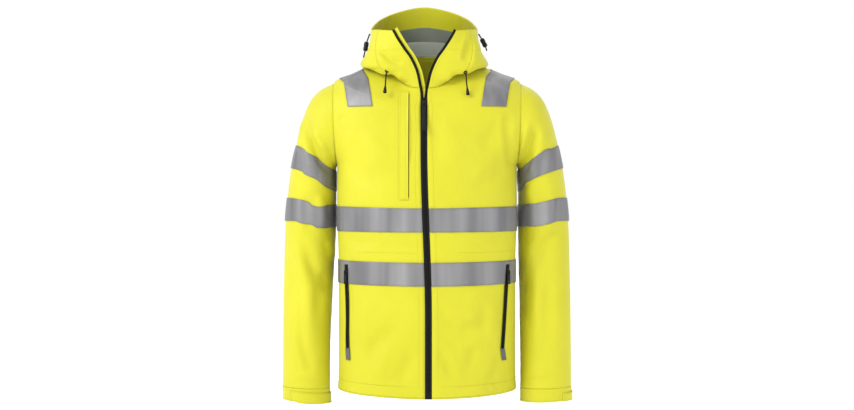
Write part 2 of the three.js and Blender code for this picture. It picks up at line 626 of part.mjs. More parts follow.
for (const side of SIDES) {
  const tape = wallOn(edgeSurface(side.sign), [0, ZIP.half], edgeStations, -ZIP.sunk, ZIP.wall);
  add(`zip_tape_${side.name}`, tape, zipCloth());
}
const flapStations = edgeStations.filter((at) => at >= FLAP.station);
add("storm_flap", wallOn(edgeSurface(-1), [FLAP.from, FLAP.to], flapStations, FLAP.lift, FLAP.wall), cloth());

// A point of the front seen at (x, z): its station and place, found by a short search.
function frontPointAt(x, z) {
  const side = x < 0 ? -1 : 1;
  let best = null;
  for (const at of steps(0, NECK, 220)) {
    for (const s of steps(0, 1, 60)) {
      const p = torsoPoint(-1, side * Math.max(s, NEAR_EDGE), at);
      const miss = Math.hypot(p.x - x, p.z - z);
      if (!best || miss < best.miss) best = { miss, s: side * s, at };
    }
  }
  const { p, normal } = torsoSurface(-1, side)(best.s, best.at);
  return { p, normal };
}

// A slider: a plate with a waist under a bail. Its frame has x across, z up along the zip and -y outwards.
function sliderGeometry({ body: [wide, long] }) {
  const [w, l] = [wide / 2, long / 2];
  const outline = new THREE.Shape();
  outline.moveTo(-w, l - 3);
  outline.quadraticCurveTo(-w, l, 0, l);
  outline.quadraticCurveTo(w, l, w, l - 3);
  outline.lineTo(w * 0.62, -l + 2);
  outline.quadraticCurveTo(w * 0.5, -l, 0, -l);
  outline.quadraticCurveTo(-w * 0.5, -l, -w * 0.62, -l + 2);
  const solid = { depth: SLIDER_PLATE, bevelEnabled: false, curveSegments: 5 };
  const plate = new THREE.ExtrudeGeometry(outline, solid).rotateX(Math.PI / 2);
  const arch = new THREE.Shape();
  arch.moveTo(-BAIL.foot, -0.4);
  arch.bezierCurveTo(-BAIL.foot, BAIL.height * 1.33, BAIL.foot, BAIL.height * 1.33, BAIL.foot, -0.4);
  arch.lineTo(BAIL.inside, -0.4);
  arch.bezierCurveTo(BAIL.inside, BAIL.crown * 1.33, -BAIL.inside, BAIL.crown * 1.33, -BAIL.inside, -0.4);
  const bail = new THREE.ExtrudeGeometry(arch, { depth: BAIL.width, bevelEnabled: false, curveSegments: 7 });
  bail.translate(0, 0, -BAIL.width / 2).rotateZ(Math.PI).rotateY(Math.PI / 2).translate(0, -SLIDER_PLATE, 0);
  return joined(plate, bail);
}

// A pull in the same frame, hanging from its crossbar in the bail, with a small hole near its end.
function pullGeometry({ pull: [long, wide, thick] }) {
  const top = CROSSBAR;
  const outline = new THREE.Shape();
  const shoulder = wide / 2 - 1;
  outline.moveTo(-shoulder, top);
  outline.lineTo(shoulder, top);
  outline.quadraticCurveTo(wide / 2, top, wide / 2, top - PULL_WINDOW.shoulder);
  outline.lineTo(wide / 2, -long + wide / 2);
  outline.absarc(0, -long + wide / 2, wide / 2, 0, -Math.PI, true);
  outline.lineTo(-wide / 2, top - PULL_WINDOW.shoulder);
  outline.quadraticCurveTo(-wide / 2, top, -shoulder, top);
  const window = new THREE.Path();
  const { half, reach } = PULL_WINDOW;
  window.moveTo(-half, -CROSSBAR);
  window.lineTo(-half, -reach);
  window.lineTo(half, -reach);
  window.lineTo(half, -CROSSBAR);
  const eye = new THREE.Path().absarc(0, -long + wide / 2, 1.3, 0, 2 * Math.PI, false);
  outline.holes.push(window, eye);
  const plate = new THREE.ExtrudeGeometry(outline, { depth: thick, bevelEnabled: false, curveSegments: 5 });
  return plate.translate(0, 0, -thick / 2).rotateX(Math.PI / 2).translate(0, -PIVOT_OUT, 0);
}

// The centre front at height z, between the zip's halves.
function zipPointAt(z) {
  const { p, normal } = torsoSurface(-1, 1)(0, stationAt(z));
  return { p: p.setX(leanAt(z)), normal: normal.setX(0).normalize() };
}

// Puts a slider and its pull on a point of the front, lifted clear of what lies under it.
function addZipHead(prefix, size, { p, normal }, lift) {
  const place = (mesh) => {
    mesh.position.copy(p).addScaledVector(normal, lift);
    const yaw = Math.atan2(normal.x, -normal.y);
    const pitch = -Math.atan2(normal.z, Math.hypot(normal.x, normal.y));
    mesh.rotation.set(pitch, 0, yaw, "ZYX");
    return mesh;
  };
  place(add(`${prefix}_slider`, sliderGeometry(size), moulded()));
  place(add(`${prefix}_pull`, pullGeometry(size), moulded()));
}
addZipHead("front_zip", FRONT_SLIDER, zipPointAt(FRONT_SLIDER.height), SLIDER_GAP - ZIP.sunk);

// Hand pocket zips with their sliders and end tabs, and the placket of the chest pocket.
function frontLayer(sign, from, to, outer, wall) {
  const rows = torsoStations.filter((at) => at >= from && at <= to);
  return wallOn(torsoSurface(-1, sign), frontColumns(sign), rows, outer, wall);
}
for (const side of SIDES) {
  const layer = frontLayer(side.sign, 0.5, 2.6, TAPE.lift + POCKET_ZIP.wall, POCKET_ZIP.wall);
  const strip = stripOutline(...pocketLine(side), POCKET_ZIP.half);
  add(`pocket_zip_${side.name}`, shared(layer, outlinePrism(strip, -1)), zipCloth());
  const [x, z] = POCKET_SLIDER.at;
  const zipOuter = TAPE.lift + POCKET_ZIP.wall;
  addZipHead(`pocket_${side.name}`, POCKET_SLIDER, frontPointAt(-side.sign * x, z), zipOuter + SLIDER_GAP);
  const tabTop = POCKET_ZIP.foot + POCKET_TAB.over;
  const tabEnds = [[side.sign * side.zipFoot, tabTop], [side.sign * side.zipTab, tabTop - POCKET_TAB.length]];
  const tabLayer = frontLayer(side.sign, 0, 1.5, POCKET_TAB.lift + POCKET_TAB.wall, POCKET_TAB.wall);
  const tab = shared(tabLayer, outlinePrism(stripOutline(...tabEnds, POCKET_TAB.half), -1));
  add(`pocket_end_tab_${side.name}`, tab, tapeCloth());
}
const { left, right, top, bottom } = CHEST_PLACKET;
const placketLayer = frontLayer(-1, 3, NECK, TAPE.lift + CHEST_PLACKET.wall, CHEST_PLACKET.wall);
const placketOutline = [[left, bottom], [right, bottom], [right, top], [left, top]];
add("chest_pocket_placket", shared(placketLayer, outlinePrism(placketOutline, -1)), cloth());

// A tube along a smooth route, a bell or a lock along a straight line.
function cordGeometry(route) {
  const section = new THREE.Shape().absarc(0, 0, CORD.radius, 0, 2 * Math.PI);
  const path = new THREE.CatmullRomCurve3(route);
  const extrude = { extrudePath: path, steps: 8, bevelEnabled: false, curveSegments: CORD.sides / 2 };
  return new THREE.ExtrudeGeometry(section, extrude);
}
function turned(profile, sides, from, direction) {
  const points = profile.map(([r, z]) => new THREE.Vector2(r, z));
  const body = new THREE.LatheGeometry(points, sides).rotateX(Math.PI / 2);
  const turn = new THREE.Quaternion().setFromUnitVectors(vec(0, 0, 1), direction.clone().normalize());
  return body.applyQuaternion(turn).translate(from.x, from.y, from.z);
}

// Drawcords at the front of the collar: eyelet, cord and bell-shaped end.
for (const cord of DRAWCORDS) {
  const { p, normal } = hoodSurface(...cord.exit);
  const { inner, outer, wall } = EYELET;
  const ring = [[inner, 0], [outer, 0], [outer - 0.5, wall], [inner, wall], [inner, 0]];
  const seat = p.clone().addScaledVector(normal, EYELET.lift);
  add(`eyelet_${cord.side}`, turned(ring, 12, seat, normal), moulded());
  const start = seat.clone().addScaledVector(normal, EYELET.wall + SEAM);
  const bend = start.clone().addScaledVector(normal, 2.2).add(vec(0, 0, -2));
  const hang = cord.hang.map(([x, y, z]) => bend.clone().add(vec(x, y, z)));
  add(`drawcord_${cord.side}`, cordGeometry([start, bend, ...hang]), zipCloth());
  const end = hang[hang.length - 1].clone();
  const way = end.clone().sub(hang[hang.length - 2]).normalize();
  const { length, neck, bell: mouth } = CORD_END;
  const bell = [[0, 0], [neck, 0], [mouth, length * 0.75], [mouth - 0.4, length], [0, length]];
  add(`cord_end_${cord.side}`, turned(bell, 12, end.clone().addScaledVector(way, SEAM), way), moulded());
}

// The cords at the hood's sides, each through its lock.
for (const cord of SIDE_CORDS) {
  const { p, normal } = hoodSurface(...cord.exit);
  const start = p.clone().addScaledVector(normal, RIM_BAND.lift + SEAM);
  const bend = start.clone().addScaledVector(normal, 2);
  const route = [start, bend, ...cord.hang.map(([x, y, z]) => start.clone().add(vec(x, y, z)))];
  add(`side_cord_${cord.side}`, cordGeometry(route), zipCloth());
  const path = new THREE.CatmullRomCurve3(route);
  const middle = path.getPointAt(CORD_LOCK.at);
  const way = path.getTangentAt(CORD_LOCK.at);
  const { length, radius, bore } = CORD_LOCK;
  const barrel = [
    [bore, -length / 2], [radius - 1.2, -length / 2], [radius, -length / 2 + 3], [radius, length / 2 - 3],
    [radius - 1.2, length / 2], [bore, length / 2], [bore, -length / 2],
  ];
  add(`cord_lock_${cord.side}`, turned(barrel, 12, middle, way), moulded());
}

export default jacket;
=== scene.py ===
"""A hooded hi-vis work jacket, filled out with no wearer, dressed on its CAD solids.

Sizes are in millimetres in the jacket's own frame and become metres where a mesh is made. +Z is up, -Y is the
front and +X is the wearer's left, as in the frame that is loaded.
"""

import json
import logging
import math
from collections.abc import Callable, Sequence
from dataclasses import dataclass, field
from enum import Enum

import bpy
import numpy as np
from mathutils import Matrix, Vector

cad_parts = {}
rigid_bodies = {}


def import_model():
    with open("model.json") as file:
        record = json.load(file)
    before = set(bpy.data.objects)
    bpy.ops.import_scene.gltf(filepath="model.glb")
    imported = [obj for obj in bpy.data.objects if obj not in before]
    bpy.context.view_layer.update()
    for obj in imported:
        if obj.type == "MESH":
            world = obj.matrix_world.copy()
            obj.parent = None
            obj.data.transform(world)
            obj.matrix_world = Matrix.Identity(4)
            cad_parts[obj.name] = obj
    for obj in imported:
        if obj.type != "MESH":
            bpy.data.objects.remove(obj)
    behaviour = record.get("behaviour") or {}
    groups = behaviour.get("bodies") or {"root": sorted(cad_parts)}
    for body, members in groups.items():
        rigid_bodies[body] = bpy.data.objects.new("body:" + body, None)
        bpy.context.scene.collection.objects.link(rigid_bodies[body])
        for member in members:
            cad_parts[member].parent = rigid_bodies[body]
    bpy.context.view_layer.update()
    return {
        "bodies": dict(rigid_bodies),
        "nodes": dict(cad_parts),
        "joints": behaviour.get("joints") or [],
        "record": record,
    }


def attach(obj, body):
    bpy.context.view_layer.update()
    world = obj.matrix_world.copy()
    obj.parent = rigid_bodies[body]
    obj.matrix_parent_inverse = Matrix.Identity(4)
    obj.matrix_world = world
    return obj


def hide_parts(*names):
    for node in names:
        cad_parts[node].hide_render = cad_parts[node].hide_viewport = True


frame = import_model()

LOG = logging.getLogger("work_jacket")

MM = 0.001
Array = np.ndarray
Piece = bpy.types.Object
Triple = tuple[float, float, float]

# Driving sizes, as in the part's source: walls and lifts in millimetres, then stations of the surfaces.
WALL = 2.0
TAPE_LIFT = 1.35
TAPE_WALL = 1.0
ZIP_HALF = 7.4
ZIP_SUNK = 0.5
HEM_LIFT = 0.8
CUFF_LIFT = 0.7
HOOD_LEAN = -6.0
PIT = 4.0
TIP = 8.0
NECK = 11.0
CUFF_SEAM = 11.0
CUFF_EDGE = 12.0
HOOD_TURN = 4.0
HOOD_RIM = 5.0
SHARES = 60
STATIONS = 220
NEAR_EDGE = 1e-6
STEP = 1e-3

# Heights and widths of what is sewn, in millimetres.
HEM_BAND_TOP = -708.0
HEM_TURN_UP = 25
WAIST_SEAM = -424.0
BACK_FACING = 90.0
FRONT_FACING = 12.0
HOOD_FACING = 48.0
CASING_STITCH = 47.0
FRONT_HEAD = -107.0
FRONT_HEAD_LIFT = -0.1
POCKET_HEAD = (172.0, -464.0)
POCKET_HEAD_LIFT = 1.95

# Where stitches run: shares from the middle of a panel, and stations up it.
HEM_EDGE = 0.03
ZIP_STITCH = 0.027
ARMHOLE_STITCH = 0.972
SHOULDER_STITCH = 0.975
CUFF_STITCHES = (11.14, 11.88)
NECK_STITCH = 0.13
SEAM_STITCH = 0.035
SHOULDER_SEAM = 0.997

TORSO_COLUMNS = ("at", "sideX", "sideZ", "midY", "frontY", "frontZ", "backY", "backZ", "square", "rise")
TORSO_ROWS = (
    (0, 195.5, -724, -6, -131, -733, 122, -742, 2.5, 1.6),
    (1, 194.5, -610, -8, -130, -612, 117, -612, 2.5, 1.6),
    (2, 194.5, -465, -11, -128, -469, 108, -466, 2.45, 1.6),
    (3, 197.5, -354, -10, -128, -356, 108, -356, 2.4, 1.6),
    (4, 199, -232, 1, -127, -248, 120, -240, 2.4, 1.6),
    (5, 200, -200, 1, -124, -205, 126, -190, 2.4, 1.6),
    (6, 202, -145, 1, -119, -170, 127, -145, 2.4, 1.6),
    (7, 204, -90, 1, -113, -142, 124, -105, 2.4, 1.6),
    (8, 206, -53, 1, -107, -122, 119, -74, 2.4, 1.6),
    (9, 163, -31.5, 4, -99, -104, 110, -43, 2.35, 1.9),
    (10, 118, -12.5, 6, -91, -86, 95, -12, 2.3, 2.6),
    (11, 76, 0, 8, -83, -70, 76, 15, 2.2, 3.4),
)
ARMHOLE_TOP = np.array([206.0, 1.0, -53.0])
ARMHOLE_PIT = np.array([199.0, 1.0, -232.0])
ARMHOLE_FRONT = 76.0
ARMHOLE_BACK = 78.0

SLEEVE_COLUMNS = ("at", "outX", "outZ", "inX", "inZ", "front", "back", "midY")
SLEEVE_ROWS = (
    (0, 206, -53, 199, -232, 76, 78, 1),
    (1, 231, -64.5, 200.4, -233.6, 76, 78, 2),
    (2, 254, -85, 201.4, -236, 76, 77, 5),
    (3, 274, -126, 202.2, -239.5, 75, 76, 9),
    (4, 291.5, -190, 202.8, -246, 74, 75, 14),
    (5, 302.5, -240, 203.2, -292, 72, 73, 19),
    (6, 311.5, -306, 203.4, -321, 69, 70, 22),
    (7, 316, -357, 203.6, -370, 66, 68, 22),
    (8, 318, -430, 205.5, -434, 62, 65, 17),
    (9, 318.5, -540, 208, -540, 57, 59, 1),
    (10, 318, -640, 210, -640, 52, 53, -13),
    (11, 317, -718, 209.5, -722, 47, 48, -24),
    (12, 316, -746, 209, -751, 46, 47, -27),
)

HOOD_LINES = ("crest", "trough", "belly", "upper", "rim")
HOOD_ROWS = (
    (0, (18, -89, -35), (31, -94, -7), (44, -95, 11), (60, -93, 36), (69, -88, 53)),
    (0.36, (49, -82, -54), (57, -90, -30), (67, -92, 0), (79, -86, 30), (85, -79, 55)),
    (0.66, (73, -57, -28), (89, -75, -40), (103, -80, -22), (108, -72, 22), (101, -64, 58)),
    (0.86, (86, -30, 1), (115, -46, -20), (135, -44, -21), (121, -38, 24), (113, -33, 62)),
    (1, (91, 12, 16), (122, 16, -8), (142, 14, -9), (122, 10, 30), (118, 8, 70)),
    (1.32, (69, 62, 37), (104, 98, -30), (137, 104, -12), (123, 92, 46), (105, 74, 97)),
    (1.66, (37, 82, 47), (60, 130, -62), (85, 160, -40), (92, 160, 42), (77, 130, 121)),
    (2, (0, 89, 50), (0, 143, -72), (0, 176, -46), (0, 180, 42), (0, 150, 141)),
)

BELTS = (("upper_belt", -329.5, -380.0), ("lower_belt", -444.5, -494.5))


def smoothstep(x: Array | float, low: float, high: float) -> Array:
    """A smooth rise from 0 to 1 between two values.

    Args:
        x: The values that are judged.
        low: Where the rise starts.
        high: Where the rise ends.

    Returns:
        The share of the rise at each value.
    """
    t = np.clip((np.asarray(x, float) - low) / (high - low), 0.0, 1.0)
    return t * t * (3.0 - 2.0 * t)


def mix(a: Array | float, b: Array | float, share: Array | float) -> Array | float:
    """The value between a and b at a share of the way."""
    return a + (b - a) * share


def unit(vectors: Array) -> Array:
    """Vectors brought to length 1."""
    return vectors / np.maximum(np.linalg.norm(vectors, axis=-1, keepdims=True), 1e-9)


def reach_of(line: Array) -> Array:
    """How far along a line each of its points lies."""
    return np.concatenate([[0], np.cumsum(np.linalg.norm(np.diff(line, axis=0), axis=1))])


def sampled(places: Array, reach: Array, source: Array) -> Array:
    """What goes with a line's points, at other places along it.

    Args:
        places: How far along the places lie.
        reach: How far along the line's points lie.
        source: The points, or their normals.

    Returns:
        A point or a normal for each place.
    """
    return np.stack([np.interp(places, reach, source[:, k]) for k in range(3)], -1)


def grid_of(low: float, high: float, count: int) -> Array:
    """Even stations from low to high."""
    return np.linspace(low, high, count + 1)


class Column:
    """A smooth curve through one column of a table, with no overshoot between its rows."""

    def __init__(self, at: Sequence[float], values: Sequence[float]) -> None:
        """Works out the slope at each row.

        Args:
            at: The stations of the rows.
            values: The column's values.
        """
        self.at = np.asarray(at, float)
        self.values = np.asarray(values, float)
        step = np.diff(self.values) / np.diff(self.at)
        before, after = step[:-1], step[1:]
        total = np.where(before * after > 0, before + after, 1.0)
        inner = np.where(before * after > 0, 2 * before * after / total, 0.0)
        self.slope = np.concatenate([step[:1], inner, step[-1:]])

    def __call__(self, at: Array | float) -> Array:
        """The column's value at any station."""
        at = np.asarray(at, float)
        i = np.clip(np.searchsorted(self.at, at, side="right") - 1, 0, len(self.at) - 2)
        h = self.at[i + 1] - self.at[i]
        t = np.clip((at - self.at[i]) / h, 0.0, 1.0)
        t2, t3 = t * t, t * t * t
        rise = (2 * t3 - 3 * t2 + 1) * self.values[i] + (t3 - 2 * t2 + t) * h * self.slope[i]
        return rise + (3 * t2 - 2 * t3) * self.values[i + 1] + (t3 - t2) * h * self.slope[i + 1]


def table_of(names: Sequence[str], rows: Sequence[Sequence[float]]) -> dict[str, Column]:
    """Every column of a table as a smooth curve.

    Args:
        names: The names of the columns, the first of which is the station.
        rows: The table's rows.

    Returns:
        A curve for each column but the first.
    """
    stations = [row[0] for row in rows]
    return {name: Column(stations, [row[i] for row in rows]) for i, name in enumerate(names) if i > 0}


class Face(Enum):
    """Which way a panel of the torso looks."""

    FRONT = -1
    BACK = 1


class Side(Enum):
    """The wearer's right or left half."""

    RIGHT = -1
    LEFT = 1

    @property
    def word(self) -> str:
        """The word that ends a node's name on this side."""
        return self.name.lower()


@dataclass
class TorsoForm:
    """The torso's surface over the station from hem to neck and the share from the middle to the side."""

    table: dict[str, Column] = field(default_factory=lambda: table_of(TORSO_COLUMNS, TORSO_ROWS))
    lean_top: float = -6.5
    lean_drop: float = 9.5

    def lean(self, z: Array) -> Array:
        """How far the centre front line stands off the middle at height z."""
        return self.lean_top + self.lean_drop * smoothstep(-z, 200, 560)

    @staticmethod
    def parting(z: Array) -> Array:
        """How far the zip's halves have parted from the middle at height z."""
        return np.where(z > -90, 0.0055 * (z + 90) ** 2, 0.0)

    @staticmethod
    def armhole(face: Face, angle: Array) -> Array:
        """A point of the armhole: 0 at the shoulder's tip, a half turn at the pit.

        Args:
            face: The half of the armhole.
            angle: The angles round it.

        Returns:
            The points.
        """
        share = (1 + np.cos(angle))[..., None] / 2
        reach = ARMHOLE_FRONT if face is Face.FRONT else ARMHOLE_BACK
        point = mix(ARMHOLE_PIT, ARMHOLE_TOP, share)
        point[..., 1] += face.value * reach * np.sin(angle)
        return point

    def points(self, face: Face, s: Array, at: Array) -> Array:
        """Points of the torso before its creases.

        Args:
            face: Front or back.
            s: From the middle, 0, to the row's end, 1 on the left and -1 on the right.
            at: The station, from the hem at 0 to the neck.

        Returns:
            The points, in millimetres.
        """
        s, at = np.broadcast_arrays(np.asarray(s, float), np.asarray(at, float))
        row = {name: column(at) for name, column in self.table.items()}
        end = np.stack([row["sideX"], row["midY"], row["sideZ"]], -1)
        in_hole = (at > PIT) & (at < TIP)
        end = np.where(in_hole[..., None], self.armhole(face, math.pi * (1 - (at - PIT) / (TIP - PIT))), end)
        depth = np.abs(row["frontY" if face is Face.FRONT else "backY"] - row["midY"])
        turn = np.clip(np.abs(end[..., 1] - row["midY"]) / depth, 0, 0.99)
        n = row["square"]
        half = end[..., 0] / (1 - turn ** n) ** (1 / n)
        centre_z = row["frontZ" if face is Face.FRONT else "backZ"]
        start = ZIP_HALF + self.parting(centre_z) if face is Face.FRONT else 0.0
        from_angle = np.arcsin(np.clip(start / half, 0, 1) ** (n / 2))
        to_angle = np.arcsin(np.clip(end[..., 0] / half, 0, 1) ** (n / 2))
        angle = mix(from_angle, to_angle, np.abs(s))
        x = half * np.sin(angle) ** (2 / n)
        y = row["midY"] + face.value * depth * np.maximum(np.cos(angle), 0) ** (2 / n)
        z = mix(centre_z, end[..., 2], np.clip(x / end[..., 0], 0, 1) ** row["rise"])
        leans = np.ones_like(at) if face is Face.FRONT else (at > TIP).astype(float)
        lean = self.lean(z) * (1 - smoothstep(x, 80, 170)) * leans
        return np.stack([np.where(s < 0, -1, 1) * x + lean, y, z], -1)

    def station_at(self, z: float) -> float:
        """The station whose centre front lies at a height.

        Args:
            z: The height.

        Returns:
            The station.
        """
        low, high = 0.0, NECK
        for _ in range(40):
            middle = (low + high) / 2
            if float(self.table["frontZ"](middle)) < z:
                low = middle
            else:
                high = middle
        return low


@dataclass
class SleeveForm:
    """A sleeve's surface over the angle round it and the station from armhole to cuff."""

    side: Side
    table: dict[str, Column] = field(default_factory=lambda: table_of(SLEEVE_COLUMNS, SLEEVE_ROWS))

    @property
    def wrist_in(self) -> float:
        """How far the wrist's inner side stands out from the table."""
        return 4.0 if self.side is Side.RIGHT else -4.0

    def points(self, angle: Array, at: Array) -> Array:
        """Points of the sleeve before its creases.

        Args:
            angle: 0 at the outermost point, a quarter turn in front.
            at: The station, from the armhole at 0 to the cuff's edge.

        Returns:
            The points, in millimetres.
        """
        angle, at = np.broadcast_arrays(np.asarray(angle, float), np.asarray(at, float))
        ring = {name: column(at) for name, column in self.table.items()}
        in_x = ring["inX"] + self.wrist_in * smoothstep(at, 7, 10)
        c, s = np.cos(angle), np.sin(angle)
        x = self.side.value * mix(in_x, ring["outX"], (1 + c) / 2)
        y = ring["midY"] - s * np.where(s > 0, ring["front"], ring["back"])
        return np.stack([x, y, mix(ring["inZ"], ring["outZ"], (1 + c) / 2)], -1)


@dataclass
class HoodForm:
    """The collar and hood: a section through five lines at each turn from one front edge to the other."""

    torso: TorsoForm
    lines: list[list[Column]] = field(init=False)

    def __post_init__(self) -> None:
        """Mirrors the half table into curves all round."""
        right = [(row[0], -1, row) for row in HOOD_ROWS]
        left = [(HOOD_TURN - row[0], 1, row) for row in reversed(HOOD_ROWS[:-1])]
        stations = [at for at, _, _ in right + left]
        self.lines = []
        for i in range(1, len(HOOD_LINES) + 1):
            xs = [hand * row[i][0] + HOOD_LEAN for _, hand, row in right + left]
            ys = [row[i][1] for _, _, row in right + left]
            zs = [row[i][2] for _, _, row in right + left]
            self.lines.append([Column(stations, values) for values in (xs, ys, zs)])

    def neck(self, turn: Array) -> Array:
        """Points of the neck seam.

        Args:
            turn: 0 and 4 are its front edges, 1 and 3 the shoulders, 2 the back.

        Returns:
            The points.
        """
        hand = np.where(turn < HOOD_TURN / 2, -1.0, 1.0)
        edge = np.maximum(np.where(turn < HOOD_TURN / 2, turn, HOOD_TURN - turn), NEAR_EDGE)
        front = self.torso.points(Face.FRONT, hand * np.minimum(edge, 1), np.full_like(turn, NECK))
        back = self.torso.points(Face.BACK, np.clip(turn - 2, -1, 1), np.full_like(turn, NECK))
        return np.where((edge < 1)[..., None], front, back)

    def points(self, turn: Array, up: Array) -> Array:
        """Points of the hood before its creases.

        Args:
            turn: Round the neck, from the right front edge at 0 to the left one at 4.
            up: From the neck seam at 0 to the rim at 5.

        Returns:
            The points, in millimetres.
        """
        turn, up = np.broadcast_arrays(np.asarray(turn, float), np.asarray(up, float))
        lines = [np.stack([column(turn) for column in line], -1) for line in self.lines]
        return centripetal(np.stack([self.neck(turn), *lines]), up)


def centripetal(knots: Array, up: Array) -> Array:
    """A centripetal curve through knots, at a place counted in knots.

    Args:
        knots: The knots, first axis, each an array of points.
        up: Where on the curve, from 0 at the first knot.

    Returns:
        The points.
    """
    first = 2 * knots[0] - knots[1]
    last = 2 * knots[-1] - knots[-2]
    full = np.concatenate([first[None], knots, last[None]])
    i = np.clip(np.floor(up).astype(int), 0, len(knots) - 2)
    t = (up - i)[..., None]
    cells = np.indices(up.shape)
    p0, p1, p2, p3 = (full[(i + k, *cells)] for k in range(4))
    d0, d1, d2 = (np.maximum(np.linalg.norm(b - a, axis=-1, keepdims=True) ** 0.5, 1e-4)
                  for a, b in ((p0, p1), (p1, p2), (p2, p3)))
    t1 = ((p1 - p0) / d0 - (p2 - p0) / (d0 + d1) + (p2 - p1) / d1) * d1
    t2 = ((p2 - p1) / d1 - (p3 - p1) / (d1 + d2) + (p3 - p2) / d2) * d1
    c2 = -3 * p1 + 3 * p2 - 2 * t1 - t2
    c3 = 2 * p1 - 2 * p2 + t1 + t2
    return p1 + t1 * t + c2 * t * t + c3 * t ** 3


TORSO = TorsoForm()
SLEEVES = {side: SleeveForm(side) for side in Side}
HOOD = HoodForm(TORSO)


@dataclass(frozen=True)
class Crease:
    """A soft trough, or a ridge where depth is positive, along a curve seen from the front or the back."""

    route: tuple[tuple[float, float], ...]
    width: float
    depth: float
    shoulder: float = 0.45

    def relief(self, x: Array, z: Array) -> Array:
        """How far the crease moves points along their normals.

        Args:
            x: The points' places across.
            z: Their heights.

        Returns:
            The moves, in millimetres.
        """
        ends = np.array(self.route, float)
        share = np.linspace(0, len(ends) - 1, 17)
        line_x = Column(range(len(ends)), ends[:, 0])(share)
        line_z = Column(range(len(ends)), ends[:, 1])(share)
        off = np.full(x.shape, 1e9)
        along = np.zeros(x.shape)
        for k in range(len(share) - 1):
            dx, dz = line_x[k + 1] - line_x[k], line_z[k + 1] - line_z[k]
            length = math.hypot(dx, dz)
            t = np.clip(((x - line_x[k]) * dx + (z - line_z[k]) * dz) / length ** 2, 0, 1)
            px, pz = x - line_x[k] - t * dx, z - line_z[k] - t * dz
            gap = np.hypot(px, pz) * np.where(px * dz - pz * dx < 0, -1, 1)
            nearer = np.abs(gap) < np.abs(off)
            off = np.where(nearer, gap, off)
            along = np.where(nearer, (k + t) / (len(share) - 1), along)
        taper = smoothstep(along, 0.0, 0.3) * (1 - smoothstep(along, 0.65, 1.0))
        trough = np.exp(-((off / self.width) ** 2))
        bank = np.exp(-(((off - 1.45 * self.width) / (0.85 * self.width)) ** 2))
        return self.depth * taper * (trough - self.shoulder * bank)


def relief_of(creases: Sequence[Crease], points: Array) -> Array:
    """The summed relief of several creases at points."""
    total = np.zeros(points.shape[:-1])
    for crease in creases:
        total += crease.relief(points[..., 0], points[..., 2])
    return total


@dataclass
class Cloth:
    """A grid of points on a surface, which becomes a thin closed shell."""

    points: Array
    normals: Array
    loop: bool = False

    def moved(self, lift: Array | float) -> Array:
        """The points moved out along their normals."""
        lift = np.broadcast_to(np.asarray(lift, float), self.points.shape[:2])
        return self.points + self.normals * lift[..., None]

    def lengths(self, axis: int) -> Array:
        """How far each corner of the cloth's cells lies along it.

        Args:
            axis: 0 for up the cloth, 1 for across it.

        Returns:
            The lengths, with a column more than the points where the cloth is a loop and the axis 1.
        """
        points = np.concatenate([self.points, self.points[:, :1]], 1) if self.loop else self.points
        step = np.linalg.norm(np.diff(points, axis=axis), axis=-1)
        zero = np.zeros_like(np.take(step, [0], axis=axis))
        return np.concatenate([zero, np.cumsum(step, axis=axis)], axis=axis)

    def shell(self, name: str, outer: Array | float, wall: float, lined: Array | None = None) -> Piece:
        """The closed wall between two lifts.

        Args:
            name: The piece's name.
            outer: How far the outer face stands out from the grid.
            wall: The cloth's thickness.
            lined: Which cells show the lining on their inside.

        Returns:
            The piece, with a UV map in metres along the cloth.
        """
        high, wide = self.points.shape[:2]
        layers = np.concatenate([self.moved(np.asarray(outer) - depth).reshape(-1, 3) for depth in (0, wall)])
        half = high * wide
        columns = wide if self.loop else wide - 1
        j, i = np.meshgrid(np.arange(high - 1), np.arange(columns), indexing="ij")
        n = (i + 1) % wide
        corners, places = (
            np.stack([j * row + i, j * row + after, (j + 1) * row + after, (j + 1) * row + i], -1)
            .reshape(-1, 4) for row, after in ((wide, n), (columns + 1, i + 1)))
        start = np.arange(columns)
        edges, edge_places = (
            [np.stack([start, after], -1), np.stack([after, start], -1) + (high - 1) * row]
            for row, after in ((wide, (start + 1) % wide), (columns + 1, start + 1)))
        if not self.loop:
            rows = np.arange(high - 1)
            edges += [np.stack([(rows + 1) * wide, rows * wide], -1),
                      np.stack([rows * wide + wide - 1, (rows + 1) * wide + wide - 1], -1)]
            edge_places += [edges[2], edges[3]]
        rim = np.concatenate(edges)
        rim_places = np.concatenate(edge_places)
        rims = np.stack([rim[:, 1], rim[:, 0], rim[:, 0] + half, rim[:, 1] + half], -1)
        faces = np.concatenate([corners, corners[:, ::-1] + half, rims])
        uv_faces = np.concatenate([places, places[:, ::-1], rim_places[:, [1, 0, 0, 1]]])
        first = layers[faces[: len(corners)]]
        facing = np.cross(first[:, 1] - first[:, 0], first[:, 3] - first[:, 0])
        outward = self.normals[j.ravel(), i.ravel()]
        if float(np.sum(facing * outward)) < 0:
            faces, uv_faces = faces[:, ::-1], uv_faces[:, ::-1]
        uv = np.stack([self.lengths(axis)[:, : columns + 1] for axis in (1, 0)], -1).reshape(-1, 2) * MM
        kinds = np.zeros(len(faces), np.int32)
        if lined is not None:
            kinds[len(corners): 2 * len(corners)] = np.asarray(lined, np.int32).ravel()
        return mesh_piece(name, layers * MM, faces, uv[uv_faces.ravel()], kinds)

    def worn(self, name: str, node: str, finish: "Finish", outer: Array | float, wall: float,
             lined: Array | None = None) -> Piece:
        """The closed wall, dressed in a finish and in the place of a node.

        Args:
            name: The piece's name.
            node: The node that it stands for, or nothing.
            finish: Its finish.
            outer: How far the outer face stands out from the grid.
            wall: The cloth's thickness.
            lined: Which cells show the lining on their inside.

        Returns:
            The piece.
        """
        piece = self.shell(name, outer, wall, lined)
        lining = None if lined is None else Finish.LINING
        return dress(piece, finish, nodes=[node] if node else [], lining=lining)


